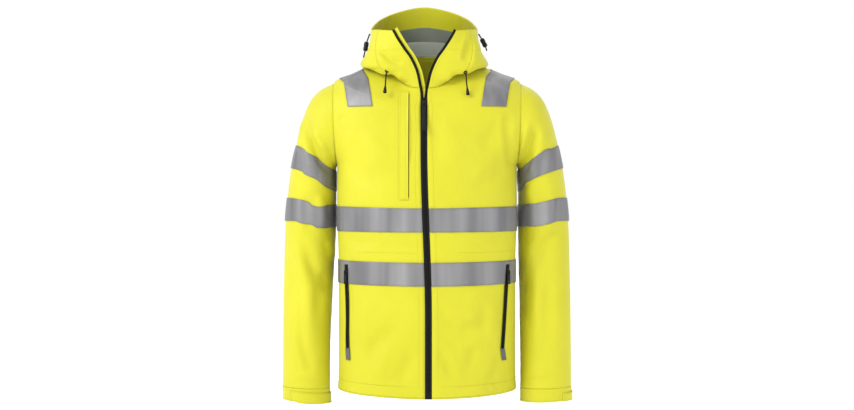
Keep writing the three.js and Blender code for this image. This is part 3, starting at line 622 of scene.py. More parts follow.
def mesh_piece(name: str, vertices: Array, faces: Array, uv: Array | None = None,
               kinds: Array | None = None) -> Piece:
    """A mesh object from arrays.

    Args:
        name: The piece's name.
        vertices: Its points, in metres.
        faces: Its faces, all with the same number of corners.
        uv: A place in the UV map for each corner of each face.
        kinds: The number of each face's material.

    Returns:
        The object, shaded smooth.
    """
    mesh = bpy.data.meshes.new(name)
    sides = faces.shape[1]
    mesh.vertices.add(len(vertices))
    mesh.vertices.foreach_set("co", np.asarray(vertices, np.float32).ravel())
    mesh.loops.add(faces.size)
    mesh.loops.foreach_set("vertex_index", np.asarray(faces, np.int32).ravel())
    mesh.polygons.add(len(faces))
    mesh.polygons.foreach_set("loop_start", np.arange(0, faces.size, sides, dtype=np.int32))
    mesh.polygons.foreach_set("loop_total", np.full(len(faces), sides, np.int32))
    mesh.polygons.foreach_set("use_smooth", np.ones(len(faces), bool))
    if kinds is not None:
        mesh.polygons.foreach_set("material_index", kinds)
    if uv is not None:
        layer = mesh.uv_layers.new(name="cloth")
        layer.data.foreach_set("uv", np.asarray(uv, np.float32).ravel())
    mesh.update(calc_edges=True)
    mesh.validate()
    piece = bpy.data.objects.new(name, mesh)
    bpy.context.scene.collection.objects.link(piece)
    return piece


class Shader:
    """A material under construction, with one method for every node but the maths."""

    def __init__(self, name: str) -> None:
        """Starts a material with its principled shader.

        Args:
            name: The material's name.
        """
        self.material = bpy.data.materials.new(name)
        self.material.use_nodes = True
        self.tree = self.material.node_tree
        self.surface = self.tree.nodes["Principled BSDF"]

    def node(self, kind: str, settings: dict | None = None, inputs: dict | None = None) -> bpy.types.Node:
        """Adds a node.

        Args:
            kind: The node's type.
            settings: Attributes that are set first.
            inputs: Values or links of its sockets, by name or number.

        Returns:
            The node.
        """
        node = self.tree.nodes.new(kind)
        for key, value in (settings or {}).items():
            setattr(node, key, value)
        for key, value in (inputs or {}).items():
            self.feed(node.inputs[key], value)
        return node

    def feed(self, socket: bpy.types.NodeSocket, value: object) -> None:
        """Sets a socket to a value, or links it to another socket."""
        if isinstance(value, Value):
            self.tree.links.new(value.socket, socket)
        elif isinstance(value, bpy.types.NodeSocket):
            self.tree.links.new(value, socket)
        else:
            socket.default_value = value

    def value(self, node: bpy.types.Node, output: str | int = 0) -> "Value":
        """A node's output as a value that takes part in expressions."""
        return Value(self, node.outputs[output])

    def along_cloth(self) -> tuple["Value", "Value"]:
        """The place on the cloth in millimetres, across and along."""
        place = self.node("ShaderNodeUVMap", {"uv_map": "cloth"})
        parts = self.node("ShaderNodeSeparateXYZ", inputs={0: place.outputs[0]})
        return self.value(parts, 0) * 1000.0, self.value(parts, 1) * 1000.0

    def noise(self, scale: float, detail: float = 2.0, stretch: Triple = (1, 1, 1),
              roughness: float = 0.5) -> "Value":
        """Soft noise over the object.

        Args:
            scale: Its frequency per metre.
            detail: How many finer layers it has.
            stretch: How the pattern is scaled along each axis.
            roughness: The share of the finer layers.

        Returns:
            The noise, about 0.5 in the middle.
        """
        place = self.node("ShaderNodeTexCoord")
        mapping = self.node("ShaderNodeMapping", inputs={"Vector": place.outputs["Object"], "Scale": stretch})
        noise = self.node("ShaderNodeTexNoise", inputs={
            "Vector": mapping.outputs[0], "Scale": scale, "Detail": detail, "Roughness": roughness})
        return self.value(noise, 0)

    def blend(self, share: "Value", first: Triple,
              second: Triple) -> bpy.types.NodeSocket:
        """A colour between two colours.

        Args:
            share: How much of the second it holds.
            first: The first colour.
            second: The second colour.

        Returns:
            The colour's socket.
        """
        node = self.node("ShaderNodeMix", {"data_type": "RGBA"}, {
            0: share, 6: (*first, 1.0), 7: (*second, 1.0)})
        return node.outputs[2]

    def bump(self, height: "Value", depth: float, strength: float = 1.0,
             under: bpy.types.Node | None = None) -> bpy.types.Node:
        """A bump of a real depth.

        Args:
            height: The relief, from 0 to 1.
            depth: Its depth in metres.
            strength: How much of it counts.
            under: A bump that lies under this one.

        Returns:
            The node.
        """
        node = self.node("ShaderNodeBump", inputs={"Height": height, "Distance": depth, "Strength": strength})
        if under is not None:
            self.feed(node.inputs["Normal"], under.outputs[0])
        return node

    def set(self, **values: object) -> None:
        """Sets sockets of the principled shader, with underscores for the spaces in their names."""
        for key, value in values.items():
            self.feed(self.surface.inputs[key.replace("_", " ")], value)


class Value:
    """A shader's number that Python's operators work on."""

    def __init__(self, shader: Shader, socket: bpy.types.NodeSocket) -> None:
        """Wraps a socket of a shader."""
        self.shader = shader
        self.socket = socket

    def maths(self, operation: str, *values: object) -> "Value":
        """Adds a Math node.

        Args:
            operation: The node's operation.
            values: Its inputs in order.

        Returns:
            Its result.
        """
        node = self.shader.node("ShaderNodeMath", {"operation": operation}, dict(enumerate(values)))
        return Value(self.shader, node.outputs[0])

    def __add__(self, other: object) -> "Value":
        """The sum."""
        return self.maths("ADD", self, other)

    __radd__ = __add__

    def __sub__(self, other: object) -> "Value":
        """The difference."""
        return self.maths("SUBTRACT", self, other)

    def __mul__(self, other: object) -> "Value":
        """The product."""
        return self.maths("MULTIPLY", self, other)

    def wave(self, pitch: float) -> "Value":
        """A wave from 0 to 1 that repeats at a pitch."""
        return self.maths("SINE", self * (2 * math.pi / pitch)) * 0.5 + 0.5


Surface = tuple[Value, bpy.types.Node, dict[str, object]]


@dataclass(frozen=True)
class Stuff:
    """A material by its name and its tones where its share is 1 and where it is 0."""

    name: str
    high: Triple
    low: Triple

    def make(self) -> bpy.types.Material:
        """Builds the material.

        Returns:
            The material.
        """
        shader = Shader(self.name)
        share, relief, values = self.surface(shader)
        shader.set(Base_Color=shader.blend(share, self.low, self.high), Normal=relief.outputs[0], **values)
        return shader.material

    def surface(self, shader: Shader) -> Surface:
        """The share of the high tone, the relief and the principled shader's other values."""
        raise NotImplementedError


class HiVisShell(Stuff):
    """Fluorescent woven shell cloth: a fine twill, faint slubs and a slightly uneven hand, with painted light
    and shade: its colour wanders in soft blotches between a lit tone and a darker, shaded tone.
    """

    def surface(self, shader: Shader) -> Surface:
        """A twill with two more relief layers: loose fibres over it and a soft pebble under it."""
        across, along = shader.along_cloth()
        # Painted light and shade: drift mixes the yellow in soft blotches between its lit tone and its
        # darker, shaded tone.
        drift = shader.noise(9.0, 3.0)
        fine = shader.noise(900.0, 1.0)
        weave = (across + along).wave(0.85) * 0.6 + (across - along * 3.0).wave(0.85 * 1.9) * 0.4
        base = shader.bump(shader.noise(46.0, 3.0, (1, 1, 0.55)), 0.0022, 0.5)
        top = shader.bump(weave * 0.7 + fine * 0.3, 0.00012, 0.6, base)
        return (drift - 0.5) * 1.6 + 0.4 + (fine - 0.5) * 0.25, top, {
            "Roughness": 0.52 + fine * 0.12, "Sheen_Weight": 0.1, "Sheen_Roughness": 0.5,
            "Specular_IOR_Level": 0.35}


class TricotLining(Stuff):
    """The cloth's grey knitted backing, seen on its inside."""

    def surface(self, shader: Shader) -> Surface:
        """Small loops in rows."""
        across, along = shader.along_cloth()
        loops = across.wave(1.4) * along.wave(1.1)
        drift = shader.noise(18.0, 2.0)
        return loops * 0.5 + drift * 0.5, shader.bump(loops, 0.0003, 0.7), {"Roughness": 0.75 + drift * 0.15}


class BeadTape(Stuff):
    """Silver-grey glass-bead tape with a fine woven ground."""

    def surface(self, shader: Shader) -> Surface:
        """A fine weave under beads, with soft buckles, and painted highlight streaks in the colour that run
        up the jacket.
        """
        across, along = shader.along_cloth()
        ground = across.wave(0.7) * along.wave(0.7)
        beads = shader.noise(2400.0, 0.0)
        soft = shader.noise(30.0, 3.0, (1, 1, 0.35))
        # Painted highlights: long streaks up the jacket lighten and darken the tape's colour where light
        # would catch its creases.
        painted_highlight_streaks = (shader.noise(26.0, 2.0, (1, 1, 0.07)) - 0.5) * 2.6 + 0.32
        relief = shader.bump(ground * 0.6 + beads * 0.4, 0.0001, 0.5, shader.bump(soft, 0.0018, 0.4))
        return ground * 0.25 + painted_highlight_streaks * 0.75, relief, {
            "Roughness": 0.4 + beads * 0.14, "Metallic": 0.3, "Specular_IOR_Level": 0.3}


class ZipTapeCloth(Stuff):
    """Black herringbone zip tape."""

    def surface(self, shader: Shader) -> Surface:
        """Slanting ribs."""
        across, along = shader.along_cloth()
        ribs = (along + across.wave(3.0) * 0.8).wave(0.9)
        return ribs, shader.bump(ribs, 0.0002, 0.8), {
            "Roughness": 0.52 + ribs * 0.12, "Specular_IOR_Level": 0.12}


@dataclass(frozen=True)
class Moulded(Stuff):
    """Moulded plastic with a fine grain and rubbed, slightly paler wear."""

    roughness: float
    shine: float

    def surface(self, shader: Shader) -> Surface:
        """Wear in the tones and grain in the relief."""
        wear = shader.noise(120.0, 4.0)
        return wear, shader.bump(shader.noise(3000.0, 1.0), 0.00004, 0.6), {
            "Roughness": self.roughness + wear * 0.14, "Specular_IOR_Level": self.shine}


@dataclass(frozen=True)
class Braid(Stuff):
    """Round braided cord, its strands crossing both ways."""

    pitch: float

    def surface(self, shader: Shader) -> Surface:
        """Strands that cross."""
        across, along = shader.along_cloth()
        strands = (across + along).wave(self.pitch) * (across - along).wave(self.pitch)
        return strands, shader.bump(strands, 0.0004, 0.9), {
            "Roughness": 0.66 + strands * 0.1, "Specular_IOR_Level": 0.2}


class Thread(Stuff):
    """Twisted sewing thread."""

    def surface(self, shader: Shader) -> Surface:
        """A fine twist."""
        twist = shader.noise(1500.0, 1.0, (1, 1, 3))
        return twist, shader.bump(twist, 0.0001, 0.6), {"Roughness": 0.5 + twist * 0.2}


class Finish(Enum):
    """The jacket's finishes, each with the record's material slot."""

    # The shell's two tones are a lit and a darker, shaded yellow: painted light and shade, mixed in blotches.
    SHELL = (HiVisShell("hi_vis_shell", (0.455, 0.44, 0.006), (0.515, 0.488, 0.011)), "hi_vis_cloth")
    LINING = (TricotLining("tricot_lining", (0.22, 0.24, 0.2), (0.12, 0.135, 0.11)), "hi_vis_cloth")
    # The tape's lighter tone is a painted highlight, laid in streaks up the jacket.
    TAPE = (BeadTape("bead_tape", (0.28, 0.278, 0.284), (0.135, 0.134, 0.14)), "reflective_tape")
    ZIP = (ZipTapeCloth("zip_tape_cloth", (0.011, 0.0108, 0.011), (0.004, 0.004, 0.004)), "zip")
    TEETH = (Moulded("zip_teeth", (0.009, 0.009, 0.009), (0.004, 0.004, 0.004), 0.4, 0.08), "zip")
    PLASTIC = (Moulded("moulded_black", (0.011, 0.011, 0.011), (0.005, 0.005, 0.005), 0.34, 0.16), "moulded")
    CORD = (Braid("black_braid", (0.014, 0.014, 0.015), (0.004, 0.004, 0.004), 1.6), "cord")
    TAB = (Braid("grey_webbing", (0.2, 0.205, 0.21), (0.1, 0.104, 0.108), 1.1), "grey_tab")
    YELLOW_THREAD = (Thread("yellow_thread", (0.44, 0.44, 0.012), (0.28, 0.29, 0.006)), "hi_vis_cloth")
    GREY_THREAD = (Thread("grey_thread", (0.2, 0.2, 0.205), (0.11, 0.11, 0.115)), "reflective_tape")
    BLACK_THREAD = (Thread("black_thread", (0.016, 0.016, 0.016), (0.006, 0.006, 0.006)), "zip")

    @property
    def slot(self) -> str:
        """The record's slot for this finish."""
        return self.value[1]

    def material(self) -> bpy.types.Material:
        """The finish's material, made on first use."""
        name = self.value[0].name
        return bpy.data.materials.get(name) or self.value[0].make()


def dress(piece: Piece, finish: Finish, body: str = "root", nodes: Sequence[str] = (),
          lining: Finish | None = None) -> Piece:
    """Gives a piece its finish, the body it rides on and the nodes that it stands for.

    Args:
        piece: The piece.
        finish: Its finish.
        body: The body that it moves with.
        nodes: The nodes that it replaces.
        lining: The finish of faces whose material index is 1.

    Returns:
        The piece.
    """
    piece.data.materials.append(finish.material())
    if lining is not None:
        piece.data.materials.append(lining.material())
    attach(piece, body)
    if nodes:
        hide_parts(*nodes)
    return piece


@dataclass
class Ground:
    """A surface with its creases, on which panels, tapes and stitches are laid."""

    surface: Callable[[Array, Array], Array]
    outward: float
    across: tuple[float, float]
    along: tuple[float, float]
    creases: tuple[Crease, ...] = ()
    back_creases: tuple[Crease, ...] = ()
    fade: Callable[[Array, Array], Array] | None = None
    loop: bool = False

    def base(self, a: Array, b: Array) -> tuple[Array, Array]:
        """Points and outward normals before the creases.

        Args:
            a: Parameters across.
            b: Parameters along.

        Returns:
            The points and their normals.
        """
        return self.surface(a, b), unit(np.cross(*self.steps(a, b)) * self.outward)

    def steps(self, a: Array, b: Array) -> tuple[Array, Array]:
        """How far the surface goes in a small step each way.

        Args:
            a: Parameters across.
            b: Parameters along.

        Returns:
            The steps across and the steps along.
        """
        low, high = (-np.inf, np.inf) if self.loop else self.across
        bottom, top = self.along
        across = self.surface(np.minimum(a + STEP, high), b) - self.surface(np.maximum(a - STEP, low), b)
        along = self.surface(a, np.minimum(b + STEP, top)) - self.surface(a, np.maximum(b - STEP, bottom))
        return across, along

    def lay(self, a: Array, b: Array, lift: Array | float = 0.0) -> tuple[Array, Array]:
        """Points on the creased surface, moved out.

        Args:
            a: Parameters across.
            b: Parameters along.
            lift: How far they are moved.

        Returns:
            The points and their normals.
        """
        a, b = np.broadcast_arrays(np.asarray(a, float), np.asarray(b, float))
        points, normals = self.base(a, b)
        front = smoothstep(-normals[..., 1], -0.25, 0.3)
        move = relief_of(self.creases, points) * front + relief_of(self.back_creases, points) * (1 - front)
        move = move * (self.fade(a, b) if self.fade else 1.0) + lift
        return points + normals * move[..., None], normals

    def cloth(self, a: Array, b: Array) -> "Cloth":
        """A grid of creased points between columns a and rows b."""
        across, along = np.meshgrid(a, b)
        return Cloth(*self.lay(across, along), self.loop)

    def from_top(self, a: Array, distance: float) -> Array:
        """The parameters along at a distance from the top edge.

        Args:
            a: Parameters across.
            distance: The distance along the cloth, in millimetres.

        Returns:
            The parameters along.
        """
        rows = np.linspace(*self.along, 101)
        reach = Cloth(self.surface(*np.meshgrid(a, rows)), np.zeros(3)).lengths(0)
        return np.array([np.interp(reach[-1, k] - distance, reach[:, k], rows) for k in range(len(a))])

    def find(self, x: Array, z: Array) -> tuple[Array, Array]:
        """The parameters of the points seen at (x, z) from the front or the back.

        Args:
            x: Places across.
            z: Heights.

        Returns:
            The parameters across and along.
        """
        grid_a, grid_b = np.meshgrid(grid_of(*self.across, SHARES), grid_of(*self.along, 2 * SHARES))
        seen = self.surface(grid_a, grid_b)[..., [0, 2]].reshape(-1, 2)
        wanted = np.stack([np.ravel(x), np.ravel(z)], -1)
        nearest = np.array([np.argmin(np.sum((seen - one) ** 2, axis=1)) for one in wanted])
        a, b = grid_a.ravel()[nearest], grid_b.ravel()[nearest]
        for _ in range(8):
            da, db = (step[:, [0, 2]] / (2 * STEP) for step in self.steps(a, b))
            miss = wanted - self.surface(a, b)[:, [0, 2]]
            det = da[:, 0] * db[:, 1] - da[:, 1] * db[:, 0]
            det = np.where(np.abs(det) < 1e-6, 1e-6, det)
            step_a = (miss[:, 0] * db[:, 1] - miss[:, 1] * db[:, 0]) / det
            step_b = (da[:, 0] * miss[:, 1] - da[:, 1] * miss[:, 0]) / det
            a = np.clip(a + np.clip(step_a, -0.1, 0.1), *self.across)
            b = np.clip(b + np.clip(step_b, -0.5, 0.5), *self.along)
        return a.reshape(np.shape(x)), b.reshape(np.shape(x))


@dataclass
class Stitches:
    """Runs of stitches that gather into one piece."""

    pitch: float = 3.4
    length: float = 2.5
    radius: float = 0.34
    straight: float = 0.28
    sunk: float = 0.15
    vertices: list[Array] = field(default_factory=list)
    count: int = 0

    def run(self, points: Array, normals: Array, lift: float = 0.1) -> None:
        """Sews along a line.

        Args:
            points: The line, close points in millimetres.
            normals: The cloth's normals there.
            lift: How far the thread stands over the line.
        """
        reach = reach_of(points)
        total = reach[-1]
        number = int(total / self.pitch)
        if number < 1:
            return
        middle = (np.arange(number) + 0.5) * total / number
        head, centre, tail = (sampled(middle + end * self.length, reach, points) for end in (-0.5, 0, 0.5))
        normal = unit(sampled(middle, reach, normals))
        way = unit(tail - head)
        side = np.cross(way, normal) * self.radius
        top = normal * (self.radius + lift)
        half = way * self.length * self.straight
        sink = normal * -self.sunk
        rows = [head + sink, centre - half + side, centre - half + top, centre - half - side,
                centre + half + side, centre + half + top, centre + half - side, tail + sink]
        self.vertices.append(np.stack(rows, 1))
        self.count += number

    def around(self, cloth: Cloth, lift: Array | float, keys: Sequence[tuple], over: float = 0.1) -> None:
        """Sews along rows and columns of a cloth.

        Args:
            cloth: The cloth.
            lift: How far its outer face stands out from its grid.
            keys: The index of each row or column.
            over: How far the thread stands over the face.
        """
        outer = cloth.moved(lift)
        for key in keys:
            self.run(outer[key], cloth.normals[key], over)

    def piece(self, name: str, finish: Finish) -> Piece:
        """Makes all the runs one mesh.

        Args:
            name: The piece's name.
            finish: The thread.

        Returns:
            The piece.
        """
        vertices = np.concatenate(self.vertices).reshape(-1, 3)
        one = np.array([[0, 1, 2], [0, 2, 3], [0, 3, 1], [1, 4, 5], [1, 5, 2], [2, 5, 6], [2, 6, 3],
                        [3, 6, 4], [3, 4, 1], [7, 5, 4], [7, 6, 5], [7, 4, 6]])
        faces = (one[None] + 8 * np.arange(self.count)[:, None, None]).reshape(-1, 3)
        return dress(mesh_piece(name, vertices * MM, faces), finish)


def groove(gap: Array, run: Array, depth: float = 0.35, width: float = 1.6, ridge: float = 0.3) -> Array:
    """The groove of a seam, with the puckered ridge of its allowance beside it.

    Args:
        gap: How far each point lies from the seam.
        run: How far along the seam it lies.
        depth: The groove's depth.
        width: The groove's width.
        ridge: The height of the ridge.

    Returns:
        The lift of each point.
    """
    pucker = 1 + 0.45 * np.sin(run / 5.3 + 1.7 * np.sin(run / 23.0)) + 0.3 * np.sin(run / 11.0 + 2.0)
    rise = ridge * pucker * smoothstep(gap, 1.2, 3.0) * (1 - smoothstep(gap, 6.5, 9.5))
    return rise - depth * np.exp(-((gap / width) ** 2))


def dips(cloth: "Cloth", edges: Sequence[str]) -> Array:
    """The grooves along a cloth's sewn edges.

    Args:
        cloth: The cloth.
        edges: Which are sewn: left, right, bottom or top.

    Returns:
        The lift of each point.
    """
    wide = cloth.points.shape[1]
    across, along = cloth.lengths(1)[:, :wide], cloth.lengths(0)[:, :wide]
    gaps = {"left": across, "right": across[:, -1:] - across, "bottom": along, "top": along[-1:] - along}
    lift = np.zeros(across.shape)
    for edge in edges:
        lift += groove(gaps[edge], along if edge in ("left", "right") else across)
    return lift


HALVES = ([0, 1, 2], [0, 2, 3])


@dataclass
class Route:
    """A smooth tube along given points, for cords."""

    name: str
    points: Array
    radius: float = 1.5
    sides: int = 14
    samples: int = 40

    def line(self) -> Array:
        """Close points on the smooth route, in millimetres."""
        knots = np.repeat(self.points[:, None], self.samples, axis=1)
        return centripetal(knots, np.linspace(0, len(self.points) - 1, self.samples))

    def tube(self) -> Piece:
        """The closed tube, with a UV map round it and along it."""
        line = self.line()
        tangent = np.gradient(line, axis=0)
        tangent /= np.linalg.norm(tangent, axis=1, keepdims=True)
        side = np.cross(tangent[0], [0.3, 1.0, 0.2])
        frames = []
        for way in tangent:
            side = side - way * np.dot(side, way)
            side /= np.linalg.norm(side)
            frames.append((side, np.cross(way, side)))
        angle = np.linspace(0, 2 * math.pi, self.sides + 1)[:-1]
        rings = [p + self.radius * (np.cos(angle)[:, None] * u + np.sin(angle)[:, None] * v)
                 for p, (u, v) in zip(line, frames)]
        caps = [line[0], line[-1]]
        vertices = np.concatenate([*rings, caps])
        n, last = self.sides, len(line) - 1
        i, j = np.meshgrid(np.arange(n), np.arange(last))
        after = (i + 1) % n
        quads = np.stack([j * n + i, j * n + after, (j + 1) * n + after, (j + 1) * n + i], -1).reshape(-1, 4)
        reach = reach_of(line)
        turn = 2 * math.pi * self.radius / n
        u = np.stack([i, i + 1, i + 1, i], -1).reshape(-1, 4) * turn
        v = reach[np.stack([j, j, j + 1, j + 1], -1).reshape(-1, 4)]
        ring = np.arange(n)
        ring_after, hub = (ring + 1) % n, np.full(n, n * len(line))
        triangles = np.concatenate([
            *(quads[:, halves] for halves in HALVES),
            np.stack([ring_after, ring, hub], -1),
            np.stack([last * n + ring, last * n + ring_after, hub + 1], -1)])
        uv = np.stack([u, v], -1)
        uv = np.concatenate([*(uv[:, halves].reshape(-1, 2) for halves in HALVES), np.zeros((6 * n, 2))])
        return mesh_piece(self.name, vertices * MM, triangles, uv * MM)


def head_frame(point: Array, normal: Array, lift: float) -> Matrix:
    """The frame of a zip slider: x across the zip, z up along it and -y out of the cloth.

    Args:
        point: Where it sits, in millimetres.
        normal: The cloth's normal there.
        lift: How far it stands over the cloth.

    Returns:
        The frame, in metres.
    """
    yaw = math.atan2(normal[0], -normal[1])
    pitch = -math.atan2(normal[2], math.hypot(normal[0], normal[1]))
    place = Matrix.Translation(Vector((point + normal * lift) * MM))
    return place @ Matrix.Rotation(yaw, 4, "Z") @ Matrix.Rotation(pitch, 4, "X")


def line_frame(point: Array, way: Array) -> Matrix:
    """A frame whose z axis runs along a direction, in metres."""
    turn = Vector((0, 0, 1)).rotation_difference(Vector(way).normalized())
    return Matrix.Translation(Vector(point * MM)) @ turn.to_matrix().to_4x4()


class Bench:
    """Hard pieces, each shaped with operators from a primitive, in metres."""

    def __init__(self, name: str) -> None:
        """Clears the selection for a new piece."""
        self.name = name
        self.piece: Piece | None = None
        if bpy.context.mode != "OBJECT":
            bpy.ops.object.mode_set(mode="OBJECT")
        bpy.ops.object.select_all(action="DESELECT")

    def block(self, size: Triple, centre: Triple = (0, 0, 0)) -> "Bench":
        """Starts from a block of a size, in millimetres."""
        bpy.ops.mesh.primitive_cube_add(size=MM, location=(0, 0, 0))
        return self.edit().size(*size).move(*centre)

    def edit(self) -> "Bench":
        """Takes the new primitive into edit mode, with all of it chosen."""
        self.piece = bpy.context.object
        bpy.ops.object.transform_apply(location=True, rotation=True, scale=True)
        bpy.ops.object.mode_set(mode="EDIT")
        bpy.ops.mesh.select_all(action="SELECT")
        return self

    def move(self, x: float = 0, y: float = 0, z: float = 0) -> "Bench":
        """Moves what is chosen, in millimetres."""
        bpy.ops.transform.translate(value=(x * MM, y * MM, z * MM))
        return self

    def drum(self, radius: float, depth: float, base: float = 0.0, sides: int = 24) -> "Bench":
        """Starts from a drum that stands on z = base, in millimetres."""
        bpy.ops.mesh.primitive_cylinder_add(vertices=sides, radius=radius * MM, depth=depth * MM,
                                            location=(0, 0, (base + depth / 2) * MM))
        return self.edit()

    def ring(self, major: float, minor: float, segments: tuple[int, int] = (28, 12)) -> "Bench":
        """Starts from a ring round the z axis, in millimetres."""
        bpy.ops.mesh.primitive_torus_add(major_radius=major * MM, minor_radius=minor * MM,
                                         major_segments=segments[0], minor_segments=segments[1])
        return self.edit()

    def cut(self, at: Sequence[float], way: Sequence[float], clear: bool = False) -> "Bench":
        """Adds a cut across the whole piece; clear takes away what lies on the way's side."""
        bpy.ops.mesh.select_all(action="SELECT")
        bpy.ops.mesh.bisect(plane_co=[c * MM for c in at], plane_no=way, clear_outer=clear, use_fill=clear)
        return self

    def cuts(self, axis: str, *places: float) -> "Bench":
        """Adds cuts across the whole piece at places along an axis."""
        way = [float(name == axis) for name in "xyz"]
        for place in places:
            self.cut([place * part for part in way], way)
        return self

    def choose(self, kind: str, test: Callable[[Vector], bool]) -> "Bench":
        """Selects vertices, edges or faces by the place of their middle, in millimetres.

        Args:
            kind: VERT, EDGE or FACE.
            test: Tells whether a middle is wanted.

        Returns:
            The bench.
        """
        bpy.ops.mesh.select_mode(type=kind)
        bpy.ops.mesh.select_all(action="DESELECT")
        bpy.ops.object.mode_set(mode="OBJECT")
        mesh = self.piece.data
        for face in mesh.polygons:
            face.select = kind == "FACE" and test(face.center / MM)
        for edge in mesh.edges:
            ends = [mesh.vertices[i].co for i in edge.vertices]
            edge.select = kind == "EDGE" and test((ends[0] + ends[1]) / 2 / MM)
        for vertex in mesh.vertices:
            vertex.select = kind == "VERT" and test(vertex.co / MM)
        bpy.ops.object.mode_set(mode="EDIT")
        return self

    def size(self, x: float = 1, y: float = 1, z: float = 1,
             centre: Triple = (0, 0, 0)) -> "Bench":
        """Scales what is chosen about a centre, in millimetres."""
        bpy.ops.transform.resize(value=(x, y, z), center_override=[c * MM for c in centre])
        return self

    def extrude(self, x: float = 0, y: float = 0, z: float = 0) -> "Bench":
        """Extrudes what is chosen, in millimetres."""
        bpy.ops.mesh.extrude_region_move(TRANSFORM_OT_translate={"value": (x * MM, y * MM, z * MM)})
        return self

    def inset(self, width: float) -> "Bench":
        """Insets the chosen faces, in millimetres."""
        bpy.ops.mesh.inset(thickness=width * MM)
        return self

    def bridge(self) -> "Bench":
        """Opens a hole between two chosen faces."""
        bpy.ops.mesh.bridge_edge_loops()
        return self

    def bevel(self, width: float, segments: int = 4) -> "Bench":
        """Rounds the chosen edges, in millimetres."""
        bpy.ops.mesh.bevel(offset=width * MM, segments=segments, affect="EDGES")
        return self

    def finish(self, place: Matrix, finish: Finish, body: str = "root", nodes: Sequence[str] = (),
               soften: float = 0.25) -> Piece:
        """Softens the edges, puts the piece in its place and dresses it.

        Args:
            place: Its frame, in metres.
            finish: Its finish.
            body: The body that it moves with.
            nodes: The nodes that it replaces.
            soften: The radius of its edges in millimetres.

        Returns:
            The piece.
        """
        bpy.ops.mesh.select_all(action="SELECT")
        bpy.ops.mesh.remove_doubles(threshold=1e-6)
        bpy.ops.mesh.normals_make_consistent(inside=False)
        bpy.ops.object.mode_set(mode="OBJECT")
        if soften > 0:
            modifier = self.piece.modifiers.new("soften", "BEVEL")
            modifier.width = soften * MM
            modifier.segments = 2
            modifier.limit_method = "ANGLE"
            modifier.angle_limit = math.radians(35)
            bpy.ops.object.modifier_apply(modifier=modifier.name)
        bpy.ops.object.shade_smooth_by_angle(angle=math.radians(40))
        self.piece.name = self.name
        self.piece.data.name = self.name
        self.piece.data.transform(place)
        self.piece.select_set(False)
        return dress(self.piece, finish, body, nodes)


def creases(*rows: tuple[float, ...]) -> tuple[Crease, ...]:
    """Creases from rows of x and z for each point of a route, then a width and a depth, in millimetres."""
    return tuple(Crease(tuple(zip(row[:-2:2], row[1:-2:2])), *row[-2:]) for row in rows)


# The photo's creases, seen from the front, and similar ones on the hidden sides.
FRONT_CREASES = {
    Side.RIGHT: creases(
        (-118, -505, -139, -560, -150, -620, 22, 3.4),
        (-54, -566, -96, -616, -142, -656, 21, -4.6),
        (-66, -598, -92, -648, -104, -700, 20, 4.2),
        (-26, -622, -44, -668, -62, -706, 15, -3.4),
        (-96, -505, -60, -522, -26, -540, 14, -2.0),
        (-190, -125, -180, -146, -160, -178, 13, -3.2),
        (-176, -230, -136, -262, -90, -282, 18, -3.6),
        (-128, -160, -112, -206, -100, -262, 22, 3.0),
        (-182, -388, -142, -404, -92, -398, 11, -2.8),
        (-100, -390, -64, -398, -30, -412, 9, 1.8),
        (-34, -130, -30, -180, -34, -240, 10, -1.8),
    ),
    Side.LEFT: creases(
        (132, -566, 98, -584, 58, -594, 13, -4.0),
        (34, -552, 76, -556, 120, -560, 14, 2.8),
        (10, -540, 36, -560, 68, -586, 7, -2.0),
        (24, -508, 58, -518, 96, -532, 9, -1.8),
        (15, -592, 44, -606, 74, -632, 8, -2.4),
        (18, -622, 38, -654, 56, -694, 10, -3.4),
        (44, -640, 62, -664, 74, -700, 10, 2.4),
        (102, -616, 96, -645, 88, -676, 14, -3.2),
        (146, -520, 142, -566, 140, -622, 15, 3.2),
        (158, -640, 146, -676, 128, -704, 11, -2.8),
        (119, -700, 128, -711, 137, -721, 4, -1.6),
        (137, -702, 146, -709, 155, -716, 4, -1.6),
        (172, -112, 176, -180, 184, -262, 11, -4.4),
        (104, -204, 146, -168, 170, -128, 22, -4.4),
        (176, -236, 140, -266, 92, -290, 18, -3.4),
        (178, -384, 128, -402, 70, -392, 11, -2.6),
        (30, -130, 52, -186, 58, -256, 24, 2.8),
        (20, -290, 48, -304, 84, -310, 12, -1.8),
    ),
}
BACK_CREASES = creases(
    (-150, -150, -60, -176, 0, -182, 20, -4.4),
    (150, -140, 80, -170, 20, -178, 18, -3.8),
    (-185, -250, -130, -290, -70, -305, 16, -5.0),
    (183, -255, 120, -300, 60, -322, 17, -4.8),
    (-40, -210, -24, -262, -30, -320, 20, 3.4),
    (-150, -400, -60, -424, 30, -416, 14, -3.8),
    (160, -405, 90, -428, 40, -432, 12, -3.4),
    (-110, -540, -70, -620, -84, -700, 22, -5.0),
    (-40, -560, -24, -630, -36, -702, 18, 3.6),
    (20, -530, 48, -620, 36, -710, 20, 4.2),
    (130, -560, 110, -640, 124, -705, 16, -4.0),
)
